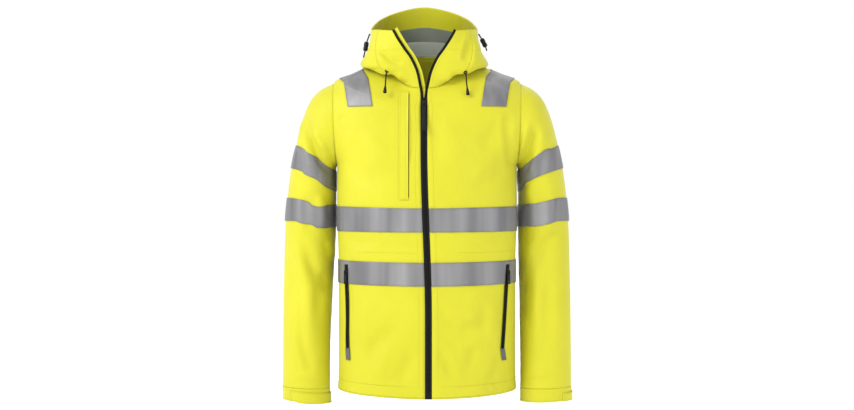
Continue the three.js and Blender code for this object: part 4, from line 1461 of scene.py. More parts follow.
ARM_CREASES = {
    Side.RIGHT: creases(
        (-270, -112, -246, -196, -206, -266, 10, -9.0),
        (-284, -160, -270, -206, -246, -254, 9, 3.4),
        (-256, -150, -236, -182, -212, -212, 9, 3.6),
        (-235, -292, -230, -330, -222, -385, 10, 4.4),
        (-266, -290, -260, -340, -254, -400, 12, -3.6),
        (-286, -406, -262, -520, -248, -646, 13, 4.0),
        (-280, -372, -254, -446, -233, -504, -236, -580, 13, -5.6),
        (-230, -462, -222, -492, -216, -526, 9, -3.4),
        (-220, -392, -212, -418, -206, -448, 7, 3.0),
        (-280, -572, -265, -642, -246, -686, 10, -3.2),
        (-300, -700, -262, -712, -230, -706, 7, -2.8),
        (-292, -668, -268, -682, -240, -680, 7, -2.2),
    ),
    Side.LEFT: creases(
        (238, -140, 222, -196, 203, -238, 11, -9.0),
        (252, -150, 246, -200, 236, -232, 10, 3.6),
        (236, -206, 232, -232, 225, -258, 6, 4.2),
        (212, -268, 203, -296, 202, -350, 9, -6.0),
        (232, -270, 226, -296, 230, -330, 9, 3.2),
        (278, -296, 272, -340, 268, -400, 8, 3.6),
        (300, -362, 262, -404, 222, -456, 14, -5.6),
        (250, -300, 248, -330, 246, -372, 9, -2.6),
        (212, -470, 205, -530, 215, -580, 10, -4.6),
        (242, -440, 240, -520, 236, -610, 13, 3.6),
        (268, -470, 262, -560, 256, -668, 14, -4.0),
        (275, -690, 244, -702, 206, -698, 7, -2.8),
        (270, -714, 242, -720, 214, -716, 6, -1.8),
    ),
}
ARM_BACK_CREASES = creases(
    (262, -130, 242, -200, 208, -262, 12, -8.0),
    (290, -290, 262, -326, 222, -352, 12, -5.4),
    (270, -340, 250, -366, 224, -392, 10, 3.6),
    (298, -390, 266, -424, 216, -440, 13, -6.4),
    (292, -460, 262, -474, 224, -504, 12, -4.6),
    (284, -560, 268, -620, 272, -684, 13, -3.8),
    (256, -520, 246, -590, 250, -660, 12, 3.2),
    (290, -696, 258, -708, 226, -702, 7, -2.6),
)
HOOD_CREASES = creases(
    (-107, 22, -75, -12, -47, -21, 7, -3.8),
    (-137, -36, -107, -32, -92, -62, 6, -3.0),
    (-112, 6, -92, -18, -72, -44, 9, 2.6),
    (100, 60, 84, 8, 79, -18, 7, -4.0),
    (116, 44, 104, 4, 100, -30, 8, 2.8),
    (-60, -46, -48, -64, -30, -80, 6, -2.4),
    (84, -40, 66, -62, 40, -84, 7, -2.8),
)
HOOD_BACK_CREASES = creases(
    (-60, -30, -10, -44, 50, -34, 9, -3.8),
    (-80, 20, -30, 4, 20, 8, 10, -3.4),
    (70, 26, 40, -6, -4, -20, 9, -3.0),
)


def mirrored(rows: Sequence[Crease], sign: int) -> tuple[Crease, ...]:
    """Creases moved to the side of a sign."""
    return tuple(Crease(tuple((sign * x, z) for x, z in row.route), row.width, row.depth) for row in rows)


def torso_fade(s: Array, at: Array) -> Array:
    """Creases end at the side seams, the armholes, the neck and the zip."""
    side = 1 - smoothstep(np.abs(s), 0.86, 0.99)
    return side * (1 - smoothstep(at, 10.4, 11.0)) * smoothstep(np.abs(s), 0.0, 0.05)


def back_fade(s: Array, at: Array) -> Array:
    """The back's creases end at its seams."""
    return (1 - smoothstep(np.abs(s), 0.86, 0.99)) * (1 - smoothstep(at, 10.4, 11.0))


def arm_fade(angle: Array, at: Array) -> Array:
    """A sleeve's creases end at the armhole and the cuff."""
    return smoothstep(at, 0.0, 0.9) * (1 - smoothstep(at, 10.5, 11.0)) + 0 * angle


def hood_fade(turn: Array, up: Array) -> Array:
    """The hood's creases end at the neck and the zip."""
    return smoothstep(up, 0.0, 0.5) * smoothstep(turn, 0.0, 0.12) * (1 - smoothstep(turn, 3.88, 4.0))


FRONTS = {side: Ground(lambda s, at: TORSO.points(Face.FRONT, s, at), 1.0, across, (0.0, NECK),
                       FRONT_CREASES[side], (), torso_fade)
          for side, across in ((Side.RIGHT, (-1.0, -NEAR_EDGE)), (Side.LEFT, (0.0, 1.0)))}
BACK = Ground(lambda s, at: TORSO.points(Face.BACK, s, at), -1.0, (-1.0, 1.0), (0.0, NECK),
              (), BACK_CREASES, back_fade)
ARMS = {side: Ground(SLEEVES[side].points, float(side.value), (0.0, 2 * math.pi), (0.0, CUFF_EDGE),
                     ARM_CREASES[side], mirrored(ARM_BACK_CREASES, side.value), arm_fade, True)
        for side in Side}
COLLAR = Ground(HOOD.points, -1.0, (0.0, HOOD_TURN), (0.0, HOOD_RIM),
                HOOD_CREASES, HOOD_BACK_CREASES, hood_fade)


def paces_on(line: Array, across: Array, normal: Array, pitch: float, phase: float) -> tuple[Array, ...]:
    """Points at an even pace on a line, with the ways across, along and outwards.

    Args:
        line: The line's points.
        across: The way across at each point.
        normal: The way outwards at each point.
        pitch: The pace.
        phase: The first point's place, in paces.

    Returns:
        The points and the three ways.
    """
    reach = reach_of(line)
    paces = np.arange(phase * pitch, reach[-1], pitch)
    here, over, out = (sampled(paces, reach, source) for source in (line, across, normal))
    return here, over, np.cross(out, over), out


@dataclass
class FrontEdge:
    """The front edge of one half, from the hem past the neck to the hood's rim."""

    side: Side
    top: float = NECK + HOOD_RIM

    def inset(self, step: float, at: Array) -> Array:
        """Points a share in from the edge.

        Args:
            step: The share.
            at: Stations: the torso's up to the neck, then the hood's.

        Returns:
            The points.
        """
        share = self.side.value * max(step, NEAR_EDGE)
        low = TORSO.points(Face.FRONT, np.full_like(at, share), np.minimum(at, NECK))
        turn = step if self.side is Side.RIGHT else HOOD_TURN - step
        high = HOOD.points(np.full_like(at, turn), np.maximum(at - NECK, 0.0))
        return np.where((at > NECK)[:, None], high, low)

    def frame(self, at: Array) -> tuple[Array, Array, Array]:
        """The edge at stations along it.

        Args:
            at: The stations.

        Returns:
            Its points, the ways across to the other half and the ways outwards.
        """
        step = 0.02
        point = self.inset(0.0, at)
        ahead, behind = (self.inset(0.0, np.clip(at + way * step, 0.0, self.top)) for way in (1, -1))
        along = unit(ahead - behind)
        across = point - self.inset(step, at)
        across = unit(across - along * np.sum(across * along, axis=1, keepdims=True))
        normal = np.cross(across, along)
        normal *= np.where(normal[:, 1:2] > 0, -1, 1)
        return point, across, normal

    def cloth(self, outs: Array, ats: Array, taper: Array | float = 1.0) -> Cloth:
        """A strip beside the edge, from outs across to stations along.

        Args:
            outs: How far across its columns lie.
            ats: The stations of its rows.
            taper: The share of its width at each row.

        Returns:
            The strip.
        """
        point, across, normal = self.frame(ats)
        reach = np.multiply.outer(np.broadcast_to(taper, np.shape(ats)), outs)
        points = point[:, None] + across[:, None] * reach[..., None]
        return Cloth(points, np.broadcast_to(normal[:, None], points.shape))

    def paced(self, out: float, start: float, end: float, pitch: float, phase: float) -> tuple[Array, ...]:
        """Points at an even pace beside the edge, with the ways across, along and outwards.

        Args:
            out: How far across from the edge.
            start: The first station.
            end: The last station.
            pitch: The pace.
            phase: The first point's place, in paces.

        Returns:
            The points and the three ways.
        """
        at = np.linspace(start, end, 900)
        point, across, normal = self.frame(at)
        return paces_on(point + across * out, across, normal, pitch, phase)


@dataclass
class Shell:
    """The jacket's cloth panels."""

    sewn: Stitches
    columns: int = 72
    rows: int = STATIONS
    turns: int = 96
    tabs: dict[str, list[Piece]] = field(default_factory=dict)

    def declare(self, piece: Piece, cloth: Cloth, with_pieces: Sequence[Piece] = ()) -> None:
        """Works out the cross product of each cell's diagonals in a panel's cloth, and keeps nothing.

        Args:
            piece: The panel; not used.
            cloth: Its cloth.
            with_pieces: What is sewn on it; not used.
        """
        points = cloth.points
        cell = np.cross(points[1:, 1:] - points[:-1, :-1], points[1:, :-1] - points[:-1, 1:])

    def hem_lift(self, cloth: Cloth) -> Array:
        """The doubled hem stands a little proud."""
        return HEM_LIFT * (1 - smoothstep(cloth.points[..., 2], HEM_BAND_TOP - 1.5, HEM_BAND_TOP + 1.5))

    def torso(self, name: str, ground: Ground, columns: int, edges: Sequence[str]) -> tuple[Piece, Cloth]:
        """Builds one of the torso's three panels.

        Args:
            name: Its node.
            ground: Its surface.
            columns: How many columns it takes.
            edges: Its sewn edges.

        Returns:
            The panel and its cloth.
        """
        cloth = ground.cloth(grid_of(*ground.across, columns), grid_of(*ground.along, self.rows))
        lift = self.hem_lift(cloth) + dips(cloth, edges)
        reach = cloth.lengths(0)[:, :columns]
        faced = BACK_FACING if ground is BACK else FRONT_FACING
        lined = (reach > HEM_TURN_UP) & (reach[-1:] - reach > faced)
        return cloth.worn(f"{name}_panel", name, Finish.SHELL, lift, WALL, lined[:-1]), cloth

    def build(self) -> dict[str, tuple[Piece, Cloth]]:
        """Builds every panel.

        Returns:
            Each panel with its cloth, by its node.
        """
        made = {
            "front_right": self.torso("front_right", FRONTS[Side.RIGHT], self.columns, ("left", "top")),
            "front_left": self.torso("front_left", FRONTS[Side.LEFT], self.columns, ("right", "top")),
            "back": self.torso("back", BACK, 2 * self.columns, ("left", "right", "top")),
        }
        for side in Side:
            made |= self.sleeve(side)
        for name, start, end in HOOD_PIECES:
            made[name] = self.hood(name, start, end)
        self.sew()
        return made

    def hood(self, name: str, start: int, end: int, below: int = 96, rows: int = 112) -> tuple[Piece, Cloth]:
        """Builds a piece of the collar and hood.

        Args:
            name: Its node.
            start: Where it starts, in eighths of the turn's units.
            end: Where it ends.
            below: How many rows lie below the facing.
            rows: How many rows it has in all.

        Returns:
            The piece and its cloth.
        """
        turns = grid_of(start / 8, end / 8, (end - start) * 8)
        seam = COLLAR.from_top(turns, HOOD_FACING)[None]
        row = np.arange(rows + 1)[:, None]
        faced = seam + (HOOD_RIM - seam) * (row - below) / (rows - below)
        ups = np.where(row < below, seam * row / below, faced)
        cloth = Cloth(*COLLAR.lay(np.broadcast_to(turns, ups.shape), ups))
        edges = ["bottom"] + ["left"] * (start > 0) + ["right"] * (end < HOOD_PIECES[-1][2])
        lift = dips(cloth, edges) + 0.8 * smoothstep(row, below - 1.0, below + 1.0)
        lined = np.broadcast_to(row[:-1] < below, (rows, len(turns) - 1))
        return cloth.worn(f"{name}_cloth", name, Finish.SHELL, lift, WALL, lined), cloth

    def sleeve(self, side: Side, rows: int = 200) -> dict[str, tuple[Piece, Cloth]]:
        """Builds a sleeve, its cuff band and the cuff's tab.

        Args:
            side: Whose side it is on.
            rows: How many rows the sleeve has.

        Returns:
            The sleeve and the band, each with its cloth, by their nodes.
        """
        angles = grid_of(0, 2 * math.pi, self.turns)[:-1]
        cloth = ARMS[side].cloth(angles, grid_of(0, CUFF_SEAM, rows))
        under = np.abs(angles[None] - math.pi) * 60.0
        run = cloth.lengths(0)[:, :self.turns]
        lift = dips(cloth, ("bottom", "top")) + groove(np.broadcast_to(under, run.shape), run, 0.8, 2.6, 0.3)
        name, band = f"sleeve_{side.word}", f"cuff_band_{side.word}"
        lined = np.ones((rows, self.turns), bool)
        made = {name: (cloth.worn(f"{name}_cloth", name, Finish.SHELL, lift, WALL, lined), cloth)}
        cuff = ARMS[side].cloth(angles, grid_of(CUFF_SEAM, CUFF_EDGE, 16))
        lift = CUFF_LIFT + dips(cuff, ("bottom",))
        made[band] = (cuff.worn(f"cuff_{side.word}_cloth", band, Finish.SHELL, lift, 2.6), cuff)
        self.tab(side)
        return made

    def tab(self, side: Side) -> None:
        """Builds the tab that closes a cuff, which hangs a little below it on the right.

        Args:
            side: Whose side it is on.
        """
        start, end, drop = (54, 216, 3.6) if side is Side.RIGHT else (-126, 54, 1.0)
        angles = np.radians(grid_of(start, end, 48))
        across, along = np.meshgrid(angles, grid_of(0, 1, 10))
        at = np.minimum(mix(11.12, 11.9, along) + 0.22 * np.sin((across - angles[0]) / 2), CUFF_EDGE - 0.01)
        points, normals = ARMS[side].lay(across, at)
        points[..., 2] -= drop * along * smoothstep(across, angles[0], angles[0] + 0.5)
        cloth = Cloth(points, normals)
        lift = 2.9 + (0.5 * np.sin(across * 5.0) + 0.9 * smoothstep(along, 0.6, 1.0))
        name = f"cuff_tab_{side.word}"
        self.tabs[f"cuff_band_{side.word}"] = [cloth.worn(f"{name}_cloth", name, Finish.SHELL, lift, 1.6)]
        within = slice(1, -1)
        self.sewn.around(cloth, lift, [(1, within), (-2, within), (within, 1), (within, -2)])

    def sew(self) -> None:
        """Sews the visible lines of the panels."""
        hem = TORSO.station_at(HEM_BAND_TOP + 1.0)
        waist = TORSO.station_at(WAIST_SEAM)
        lines = []
        for side, ground in FRONTS.items():
            hand, seen = side.value, WAIST_SHARES[side]
            shares = np.linspace(0.004, 0.996, 240)
            hole = np.linspace(PIT + 0.05, TIP - 0.05, 220)
            lines += [
                (ground, hand * shares, hem, 0.3),
                (ground, hand * shares, HEM_EDGE, HEM_LIFT),
                (ground, hand * shares[(shares > seen[0]) & (shares < seen[1])], waist, 0.0),
                (ground, hand * ZIP_STITCH, np.linspace(0.02, 10.95, 500), 0.0),
                (ground, hand * ARMHOLE_STITCH, hole, 0.0),
                (BACK, hand * ARMHOLE_STITCH, hole, 0.0),
                (BACK, hand * SHOULDER_STITCH, np.linspace(TIP + 0.05, NECK - 0.1, 80), 0.0),
                *((ARMS[side], np.linspace(0, 2 * math.pi, 160), at, CUFF_LIFT) for at in CUFF_STITCHES),
            ]
        turns = np.linspace(0.02, 3.98, 500)
        casing = COLLAR.from_top(turns, CASING_STITCH)
        whole = np.linspace(-0.996, 0.996, 400)
        lines += [(BACK, whole, hem, 0.3), (BACK, whole, HEM_EDGE, HEM_LIFT),
                  (COLLAR, turns, NECK_STITCH, 0.0)]
        lines += [(COLLAR, start / 8 + off, np.linspace(0.1, 4.9, 200), 0.0)
                  for _, start, _ in HOOD_PIECES[1:] for off in (-SEAM_STITCH, SEAM_STITCH)]
        lines.append((COLLAR, turns, casing, 0.4))
        lines += [(COLLAR, turn, np.linspace(0.1, 4.95, 260), 0.0) for turn in (0.045, 3.955)]
        for ground, across, along, lift in lines:
            self.sewn.run(*ground.lay(across, along, lift))
        points, normals = COLLAR.lay(turns, casing, -WALL)
        self.sewn.run(points, -normals)


WAIST_SHARES = {Side.RIGHT: (0.03, 0.5), Side.LEFT: (0.15, 0.78)}
HOOD_PIECES = (("collar_right", 0, 5), ("hood_side_right", 5, 13), ("hood_centre", 13, 19),
               ("hood_side_left", 19, 27), ("collar_left", 27, 32))
SHOULDER_TAPES = {
    Face.FRONT: ((116, -111), (170, -111), (190, -20), (138, 0)),
    Face.BACK: ((118, -100), (170, -106), (190, -20), (138, 0)),
}
WAVES = {
    ("upper", Side.RIGHT): (((0, 0), (0.2, 5), (0.3, 6.5), (0.36, 4), (0.6, 6), (0.85, -1), (1, 0)),) * 2,
    ("lower", Side.RIGHT): (
        ((0, 0), (0.28, 1.3), (0.5, -2.8), (0.57, -9), (0.68, -10.5), (0.85, -4), (1, 0)),
        ((0, 0), (0.24, 2.6), (0.39, 0), (0.57, -0.7), (0.67, -5.4), (0.78, -5.2), (1, 0))),
    ("upper", Side.LEFT): (
        ((0, 0), (0.2, 3), (0.35, 10), (0.67, 14), (0.85, 11), (1, 0)),
        ((0, 0), (0.27, 5.5), (0.5, 10), (0.72, 11.8), (0.87, 11.8), (1, 0))),
    ("lower", Side.LEFT): (((0, 0), (0.28, 2.6), (0.45, 0), (0.65, -2.4), (0.85, -1), (1, 0)),) * 2,
}
STATION_LENGTH = 50.0
BACK_WAVE = ((0, 0), (0.25, 3), (0.5, -2), (0.75, 4), (1, 0))


@dataclass
class Patch:
    """A four-cornered piece on a ground, seen from the front or the back at (x, z)."""

    ground: Ground
    corners: Sequence[tuple[float, float]]
    columns: int
    rows: int

    def cloth(self) -> Cloth:
        """Lays the patch."""
        u, v = np.meshgrid(grid_of(0, 1, self.columns), grid_of(0, 1, self.rows))
        a, b, c, d = (np.array(corner, float) for corner in self.corners)
        low = a + (b - a) * u[..., None]
        high = d + (c - d) * u[..., None]
        place = low + (high - low) * v[..., None]
        return Cloth(*self.ground.lay(*self.ground.find(place[..., 0], place[..., 1])))


def share_at(ground: Ground, sign: float, x: Array, along: Array) -> Array:
    """The shares across a panel at which its rows stand at x.

    Args:
        ground: The panel.
        sign: The half that is searched.
        x: Places across.
        along: The rows' stations.

    Returns:
        The shares.
    """
    low, high = np.full_like(along, NEAR_EDGE), np.ones_like(along)
    for _ in range(26):
        middle = (low + high) / 2
        inside = np.abs(ground.surface(sign * middle, along)[..., 0]) < np.abs(x)
        low, high = np.where(inside, middle, low), np.where(inside, high, middle)
    return sign * (low + high) / 2


@dataclass
class Tapes:
    """The reflective tapes."""

    sewn: Stitches
    outer: float = TAPE_LIFT + 0.4
    buckle: float = 0.28

    def band(self, name: str, cloth: Cloth, node: str) -> Piece:
        """Makes a tape and sews its two long edges.

        Args:
            name: The piece's name.
            cloth: Its cloth, rows from edge to edge.
            node: The node that it stands for.

        Returns:
            The piece.
        """
        run = cloth.lengths(1)[:, : cloth.points.shape[1]]
        high = cloth.points.shape[0] - 1
        edge = np.minimum(np.arange(high + 1), high - np.arange(high + 1))[:, None]
        pucker = 0.22 * np.sin(run / 4.6 + 2.2 * np.sin(run / 31.0)) * np.exp(-edge / 2.0)
        buckle = (np.sin(run / 8.5 + 2.6 * np.sin(run / 37.0))
                  + 0.7 * np.sin(run / 3.9 + 3.1 * np.sin(run / 29.0)))
        patches = smoothstep(np.sin(run / 46.0 + 1.3), -0.3, 0.9)
        lift = self.outer + pucker + self.buckle * buckle * patches - 0.5 * np.exp(-((edge - 1.0) ** 2) / 0.5)
        self.sewn.around(cloth, lift, [(1,), (-2,)], 0.15)
        return cloth.worn(name, node, Finish.TAPE, lift, TAPE_WALL)

    def build(self) -> dict[str, list[Piece]]:
        """Builds every tape.

        Returns:
            The tapes on each panel.
        """
        made: dict[str, list[Piece]] = {}
        grounds = {"front_right": FRONTS[Side.RIGHT], "front_left": FRONTS[Side.LEFT], "back": BACK}
        for name, ground in grounds.items():
            columns = 144 if ground is BACK else 72
            for belt, high, low in BELTS:
                rows = grid_of(TORSO.station_at(low), TORSO.station_at(high), 20)
                cloth = ground.cloth(grid_of(*ground.across, columns), rows)
                made.setdefault(name, []).append(self.band(f"{belt}_{name}_tape", cloth, f"{belt}_{name}"))
        for side in Side:
            for word, top, bottom in (("upper", 4, 5), ("lower", 6, 7)):
                cloth = self.sleeve_ring(side, word, top, bottom)
                name = f"sleeve_{word}_tape_{side.word}"
                made.setdefault(f"sleeve_{side.word}", []).append(self.band(f"{name}_band", cloth, name))
            for face in Face:
                panel = "back" if face is Face.BACK else f"front_{side.word}"
                made.setdefault(panel, []).append(self.shoulder(side, face))
        return made

    def sleeve_ring(self, side: Side, word: str, top: float, bottom: float) -> Cloth:
        """A tape round a sleeve, with the waves of its edges.

        Args:
            side: Whose side it is on.
            word: Which of the two it is.
            top: The station of its upper edge.
            bottom: The station of its lower edge.

        Returns:
            The tape's cloth.
        """
        angles = grid_of(0, 2 * math.pi, 96)[:-1]
        share = (1 - np.cos(angles)) / 2
        front = np.sin(angles) > 0
        edges = []
        for wave, station in zip(WAVES[word, side], (top, bottom)):
            seen, hidden = (Column(*zip(*rows))(share) for rows in (wave, BACK_WAVE))
            edges.append(station - np.where(front, seen, hidden) / STATION_LENGTH)
        v = grid_of(0, 1, 20)[:, None]
        at = edges[0] + (edges[1] - edges[0]) * v
        return Cloth(*ARMS[side].lay(np.broadcast_to(angles, at.shape), at), True)

    def shoulder(self, side: Side, face: Face) -> Piece:
        """A short tape from the chest or the back up to the shoulder seam.

        Args:
            side: Whose side it is on.
            face: Whether it lies on the front or the back.

        Returns:
            The tape.
        """
        ground = FRONTS[side] if face is Face.FRONT else BACK
        sign = float(side.value)
        (inner, foot), (outer_x, _), (top_outer, _), (top_inner, _) = SHOULDER_TAPES[face]
        u = grid_of(0, 1, 24)[::side.value]
        low, high = sign * mix(inner, outer_x, u), sign * mix(top_inner, top_outer, u)
        first, start = ground.find(low, np.full_like(low, foot))
        stations = np.linspace(NECK, TIP, 200)
        seam = np.abs(ground.surface(np.full(200, sign), stations)[:, 0])
        end = np.interp(np.abs(high), seam, stations)
        rows = grid_of(0, 1, 40)[:, None] + 0 * low
        along = start + (end - start) * rows
        share = rows
        for _ in range(3):
            straight = share_at(ground, sign, low + (high - low) * share, along)
            across = mix(straight, sign * SHOULDER_SEAM, smoothstep(rows, 0.9, 1.0))
            line = ground.surface(across, along)
            reach = np.cumsum(np.linalg.norm(np.diff(line, axis=0), axis=-1), axis=0)
            share = np.concatenate([np.zeros((1, len(low))), reach / reach[-1:]])
        cloth = Cloth(*ground.lay(across, along))
        node = f"shoulder_tape_{face.name.lower()}_{side.word}"
        keys = [(1, slice(1, -1)), (slice(1, None), 1), (slice(1, None), -2)]
        self.sewn.around(cloth, self.outer, keys, 0.15)
        return cloth.worn(f"{node}_patch", node, Finish.TAPE, self.outer, TAPE_WALL)


POCKET_PLACES = {Side.RIGHT: (172.5, 169.6, 168.1), Side.LEFT: (172.5, 160.5, 164.8)}
POCKET_STITCH = 9.5


def strip(side: Side, top: tuple[float, float], foot: tuple[float, float], half: float, columns: int,
          rows: int) -> Cloth:
    """A straight strip on a front.

    Args:
        side: Whose side it is on.
        top: The middle of its top, out from the middle of the jacket and up.
        foot: The middle of its foot.
        half: Half its width.
        columns: How many columns it has.
        rows: How many rows it has.

    Returns:
        The strip.
    """
    middles = [(side.value * x, z) for x, z in (foot, top)]
    corners = [(x + hand * half, z) for (x, z), hands in zip(middles, ((-1, 1), (1, -1))) for hand in hands]
    return Patch(FRONTS[side], corners, columns, rows).cloth()


def tooth(base: Array, tip: Array, wide: Array, slim: Array, rise: Array, nose: float = 0.7,
          tilt: float = 1.0) -> Array:
    """The corners of a row of zip teeth.

    Args:
        base: Where each tooth leaves its tape.
        tip: Where it ends.
        wide: Half its width at the base, along the zip.
        slim: Half its width at the tip.
        rise: Its height.
        nose: The share of the tip's width at its top.
        tilt: The share of the height at the tip.

    Returns:
        Eight corners for each tooth: the foot's four, then the top's.
    """
    return np.stack([base - wide, base + wide, tip + slim, tip - slim,
                     base - wide * 0.7 + rise, base + wide * 0.7 + rise,
                     tip + slim * nose + rise * tilt, tip - slim * nose + rise * tilt], 1)


@dataclass
class Zips:
    """The front zip, the pocket zips, the flap and the chest pocket's placket."""

    sewn: Stitches
    threads: Stitches
    pitch: float = 2.5
    pocket_pitch: float = 2.0
    parted: float = 0.72

    def build(self) -> dict[str, list[Piece]]:
        """Builds every zip and the cloth beside them.

        Returns:
            The pieces sewn on each front.
        """
        made: dict[str, list[Piece]] = {"front_right": [], "front_left": []}
        ats = np.concatenate([grid_of(0, NECK, 260), grid_of(NECK, NECK + HOOD_RIM, 120)[1:]])
        for side in Side:
            edge = FrontEdge(side)
            taper = 1 - (1 - self.parted) * smoothstep(ats, TORSO.station_at(-100.0), TORSO.station_at(-84.0))
            cloth = edge.cloth(grid_of(0, ZIP_HALF, 6), ats, taper)
            name = f"zip_tape_{side.word}"
            made[f"front_{side.word}"].append(cloth.worn(f"{name}_cloth", name, Finish.ZIP, -ZIP_SUNK, 1.4))
            point, across, normal = edge.frame(ats)
            for out in (1.2, 2.6):
                self.threads.run(point + across * out + normal * -ZIP_SUNK, normal)
        flap_ats = np.concatenate([grid_of(9.5, NECK, 50), grid_of(NECK, NECK + HOOD_RIM, 110)[1:]])
        flap = FrontEdge(Side.RIGHT).cloth(grid_of(1, 12.5, 10), flap_ats)
        run = flap.lengths(0)[:, :11]
        roll = 0.5 * np.sin(run / 9.0) * np.linspace(0, 1, 11)[None] ** 2
        inner = flap.worn("storm_flap_cloth", "storm_flap", Finish.SHELL, -2.8 + roll, 1.3)
        made["front_right"] += [inner, self.placket()]
        self.teeth()
        for side in Side:
            made[f"front_{side.word}"] += self.pocket(side)
        return made

    def teeth(self) -> None:
        """The moulded teeth, interlocked below the slider and parted above it."""
        vertices = []
        shut = TORSO.station_at(-92.0)
        for side in Side:
            edge = FrontEdge(side)
            phase = 0.25 if side is Side.RIGHT else 0.75
            for start, end, reach, share in ((0.12, shut, 1.0, 1.0), (shut, NECK + 4.9, 0.6, self.parted)):
                point, across, along, normal = edge.paced(ZIP_HALF * share, start, end, self.pitch, phase)
                base = point - across * 2.6 + normal * (-ZIP_SUNK - 0.1)
                tip = point + across * reach + normal * (-ZIP_SUNK - 0.1)
                rise = normal * 1.25
                vertices.append(tooth(base, tip, along * 0.62, along * 0.92, rise, 0.75, 0.9))
        blocks("front_zip_teeth", np.concatenate(vertices), Finish.TEETH)

    def pocket(self, side: Side) -> list[Piece]:
        """Builds a hand pocket's zip, its teeth and its end tab.

        Args:
            side: Whose side it is on.

        Returns:
            The zip's tape and the tab.
        """
        ground = FRONTS[side]
        top_x, foot_x, tab_x = POCKET_PLACES[side]
        cloth = strip(side, (top_x, -450), (foot_x, -632), 3.6, 6, 90)
        name = f"pocket_zip_{side.word}"
        lift = TAPE_LIFT + 1.2
        tape = cloth.worn(f"{name}_cloth", name, Finish.ZIP, lift, 1.2)
        self.threads.around(cloth, lift, [(slice(None), 1), (slice(None), -2)])
        outer = cloth.moved(lift)
        across = unit(outer[:, 4] - outer[:, 2])
        rows = []
        for phase, hand in ((0.25, -1), (0.75, 1)):
            here, over, along, out = paces_on(outer[:, 3], across, cloth.normals[:, 3],
                                              self.pocket_pitch, phase)
            along = along * 0.5
            base, tip = here + over * hand * 1.8 - out * 0.1, here - over * hand * 0.5 - out * 0.1
            rows.append(tooth(base, tip, along, along, out * 0.8))
        blocks(f"pocket_zip_teeth_{side.word}", np.concatenate(rows), Finish.TEETH)
        tab = strip(side, (foot_x, -629), (tab_x, -655), 4.4, 10, 24)
        name = f"pocket_end_tab_{side.word}"
        edge = np.minimum(np.arange(25), 24 - np.arange(25))[:, None]
        puff = 3.05 - 0.35 * np.exp(-((edge - 2.0) ** 2) / 0.8)
        end = tab.worn(f"{name}_cloth", name, Finish.TAB, puff, 1.3)
        line = strip(side, (top_x, -456), (foot_x, -626), 1.0, 2, 60).points[:, 1]
        _, belt_top, belt_foot = BELTS[1]
        clear = (line[:, 2] >= belt_top) | (line[:, 2] <= belt_foot)
        for off in (POCKET_STITCH, -POCKET_STITCH):
            outside = off * side.value > 0
            x = line[:, 0] + off
            a, b = ground.find(x - off * 0.35 if outside else x, line[:, 2])
            self.sewn.run(*ground.lay(a[clear], b[clear]))
        return [tape, end]

    def placket(self) -> Piece:
        """Builds the welt over the chest pocket's opening, its free edge a little raised, and a painted
        shadow under that edge: a near-black strip.

        Returns:
            The welt.
        """
        corners = [(-60, -311), (-39.5, -311), (-39.5, -78), (-60, -78)]
        cloth = Patch(FRONTS[Side.RIGHT], corners, 16, 130).cloth()
        across, along = grid_of(0, 1, 16)[None], grid_of(0, 1, 130)[:, None]
        lip = 2.4 * smoothstep(across, 0.72, 1.0) * smoothstep(along, 0.10, 0.5)
        lip = lip * (1 - smoothstep(along, 0.97, 1.0))
        lift = TAPE_LIFT + 0.3 + lip * (0.8 + 0.2 * np.sin(along * 19.0))
        piece = cloth.worn("chest_pocket_placket_cloth", "chest_pocket_placket", Finish.SHELL, lift, 1.3)
        rows, columns = slice(2, -2), slice(2, 13)
        self.sewn.around(cloth, lift, [(rows, 2), (rows, 12), (2, columns), (-3, columns)])
        # A painted shadow: a near-black strip laid where the welt's free edge throws its shade.
        corners = [(-43, -306), (-38.2, -306), (-38.2, -84), (-43, -84)]
        painted_shadow_strip = Patch(FRONTS[Side.RIGHT], corners, 4, 100).cloth()
        painted_shadow_strip.worn("chest_pocket_slit", "", Finish.TEETH, 0.5, 0.45)
        return piece


def blocks(name: str, corners: Array, finish: Finish) -> Piece:
    """Many small blocks as one piece.

    Args:
        name: The piece's name.
        corners: Eight corners for each block: its base's four, then its top's.
        finish: Its finish.

    Returns:
        The piece.
    """
    one = np.array([[3, 2, 1, 0], [4, 5, 6, 7], [0, 1, 5, 4], [1, 2, 6, 5], [2, 3, 7, 6], [3, 0, 4, 7]])
    faces = (one[None] + 8 * np.arange(len(corners))[:, None, None]).reshape(len(corners), 6, 4)
    first = corners[:, 1] - corners[:, 0]
    second = corners[:, 3] - corners[:, 0]
    up = corners[:, 4] - corners[:, 0]
    flip = np.sum(np.cross(first, second) * up, axis=1) < 0
    faces[flip] = faces[flip][:, :, ::-1]
    piece = mesh_piece(name, corners.reshape(-1, 3) * MM, faces.reshape(-1, 4))
    piece.data.shade_flat()
    return dress(piece, finish)


LONG_PULL = 40.0


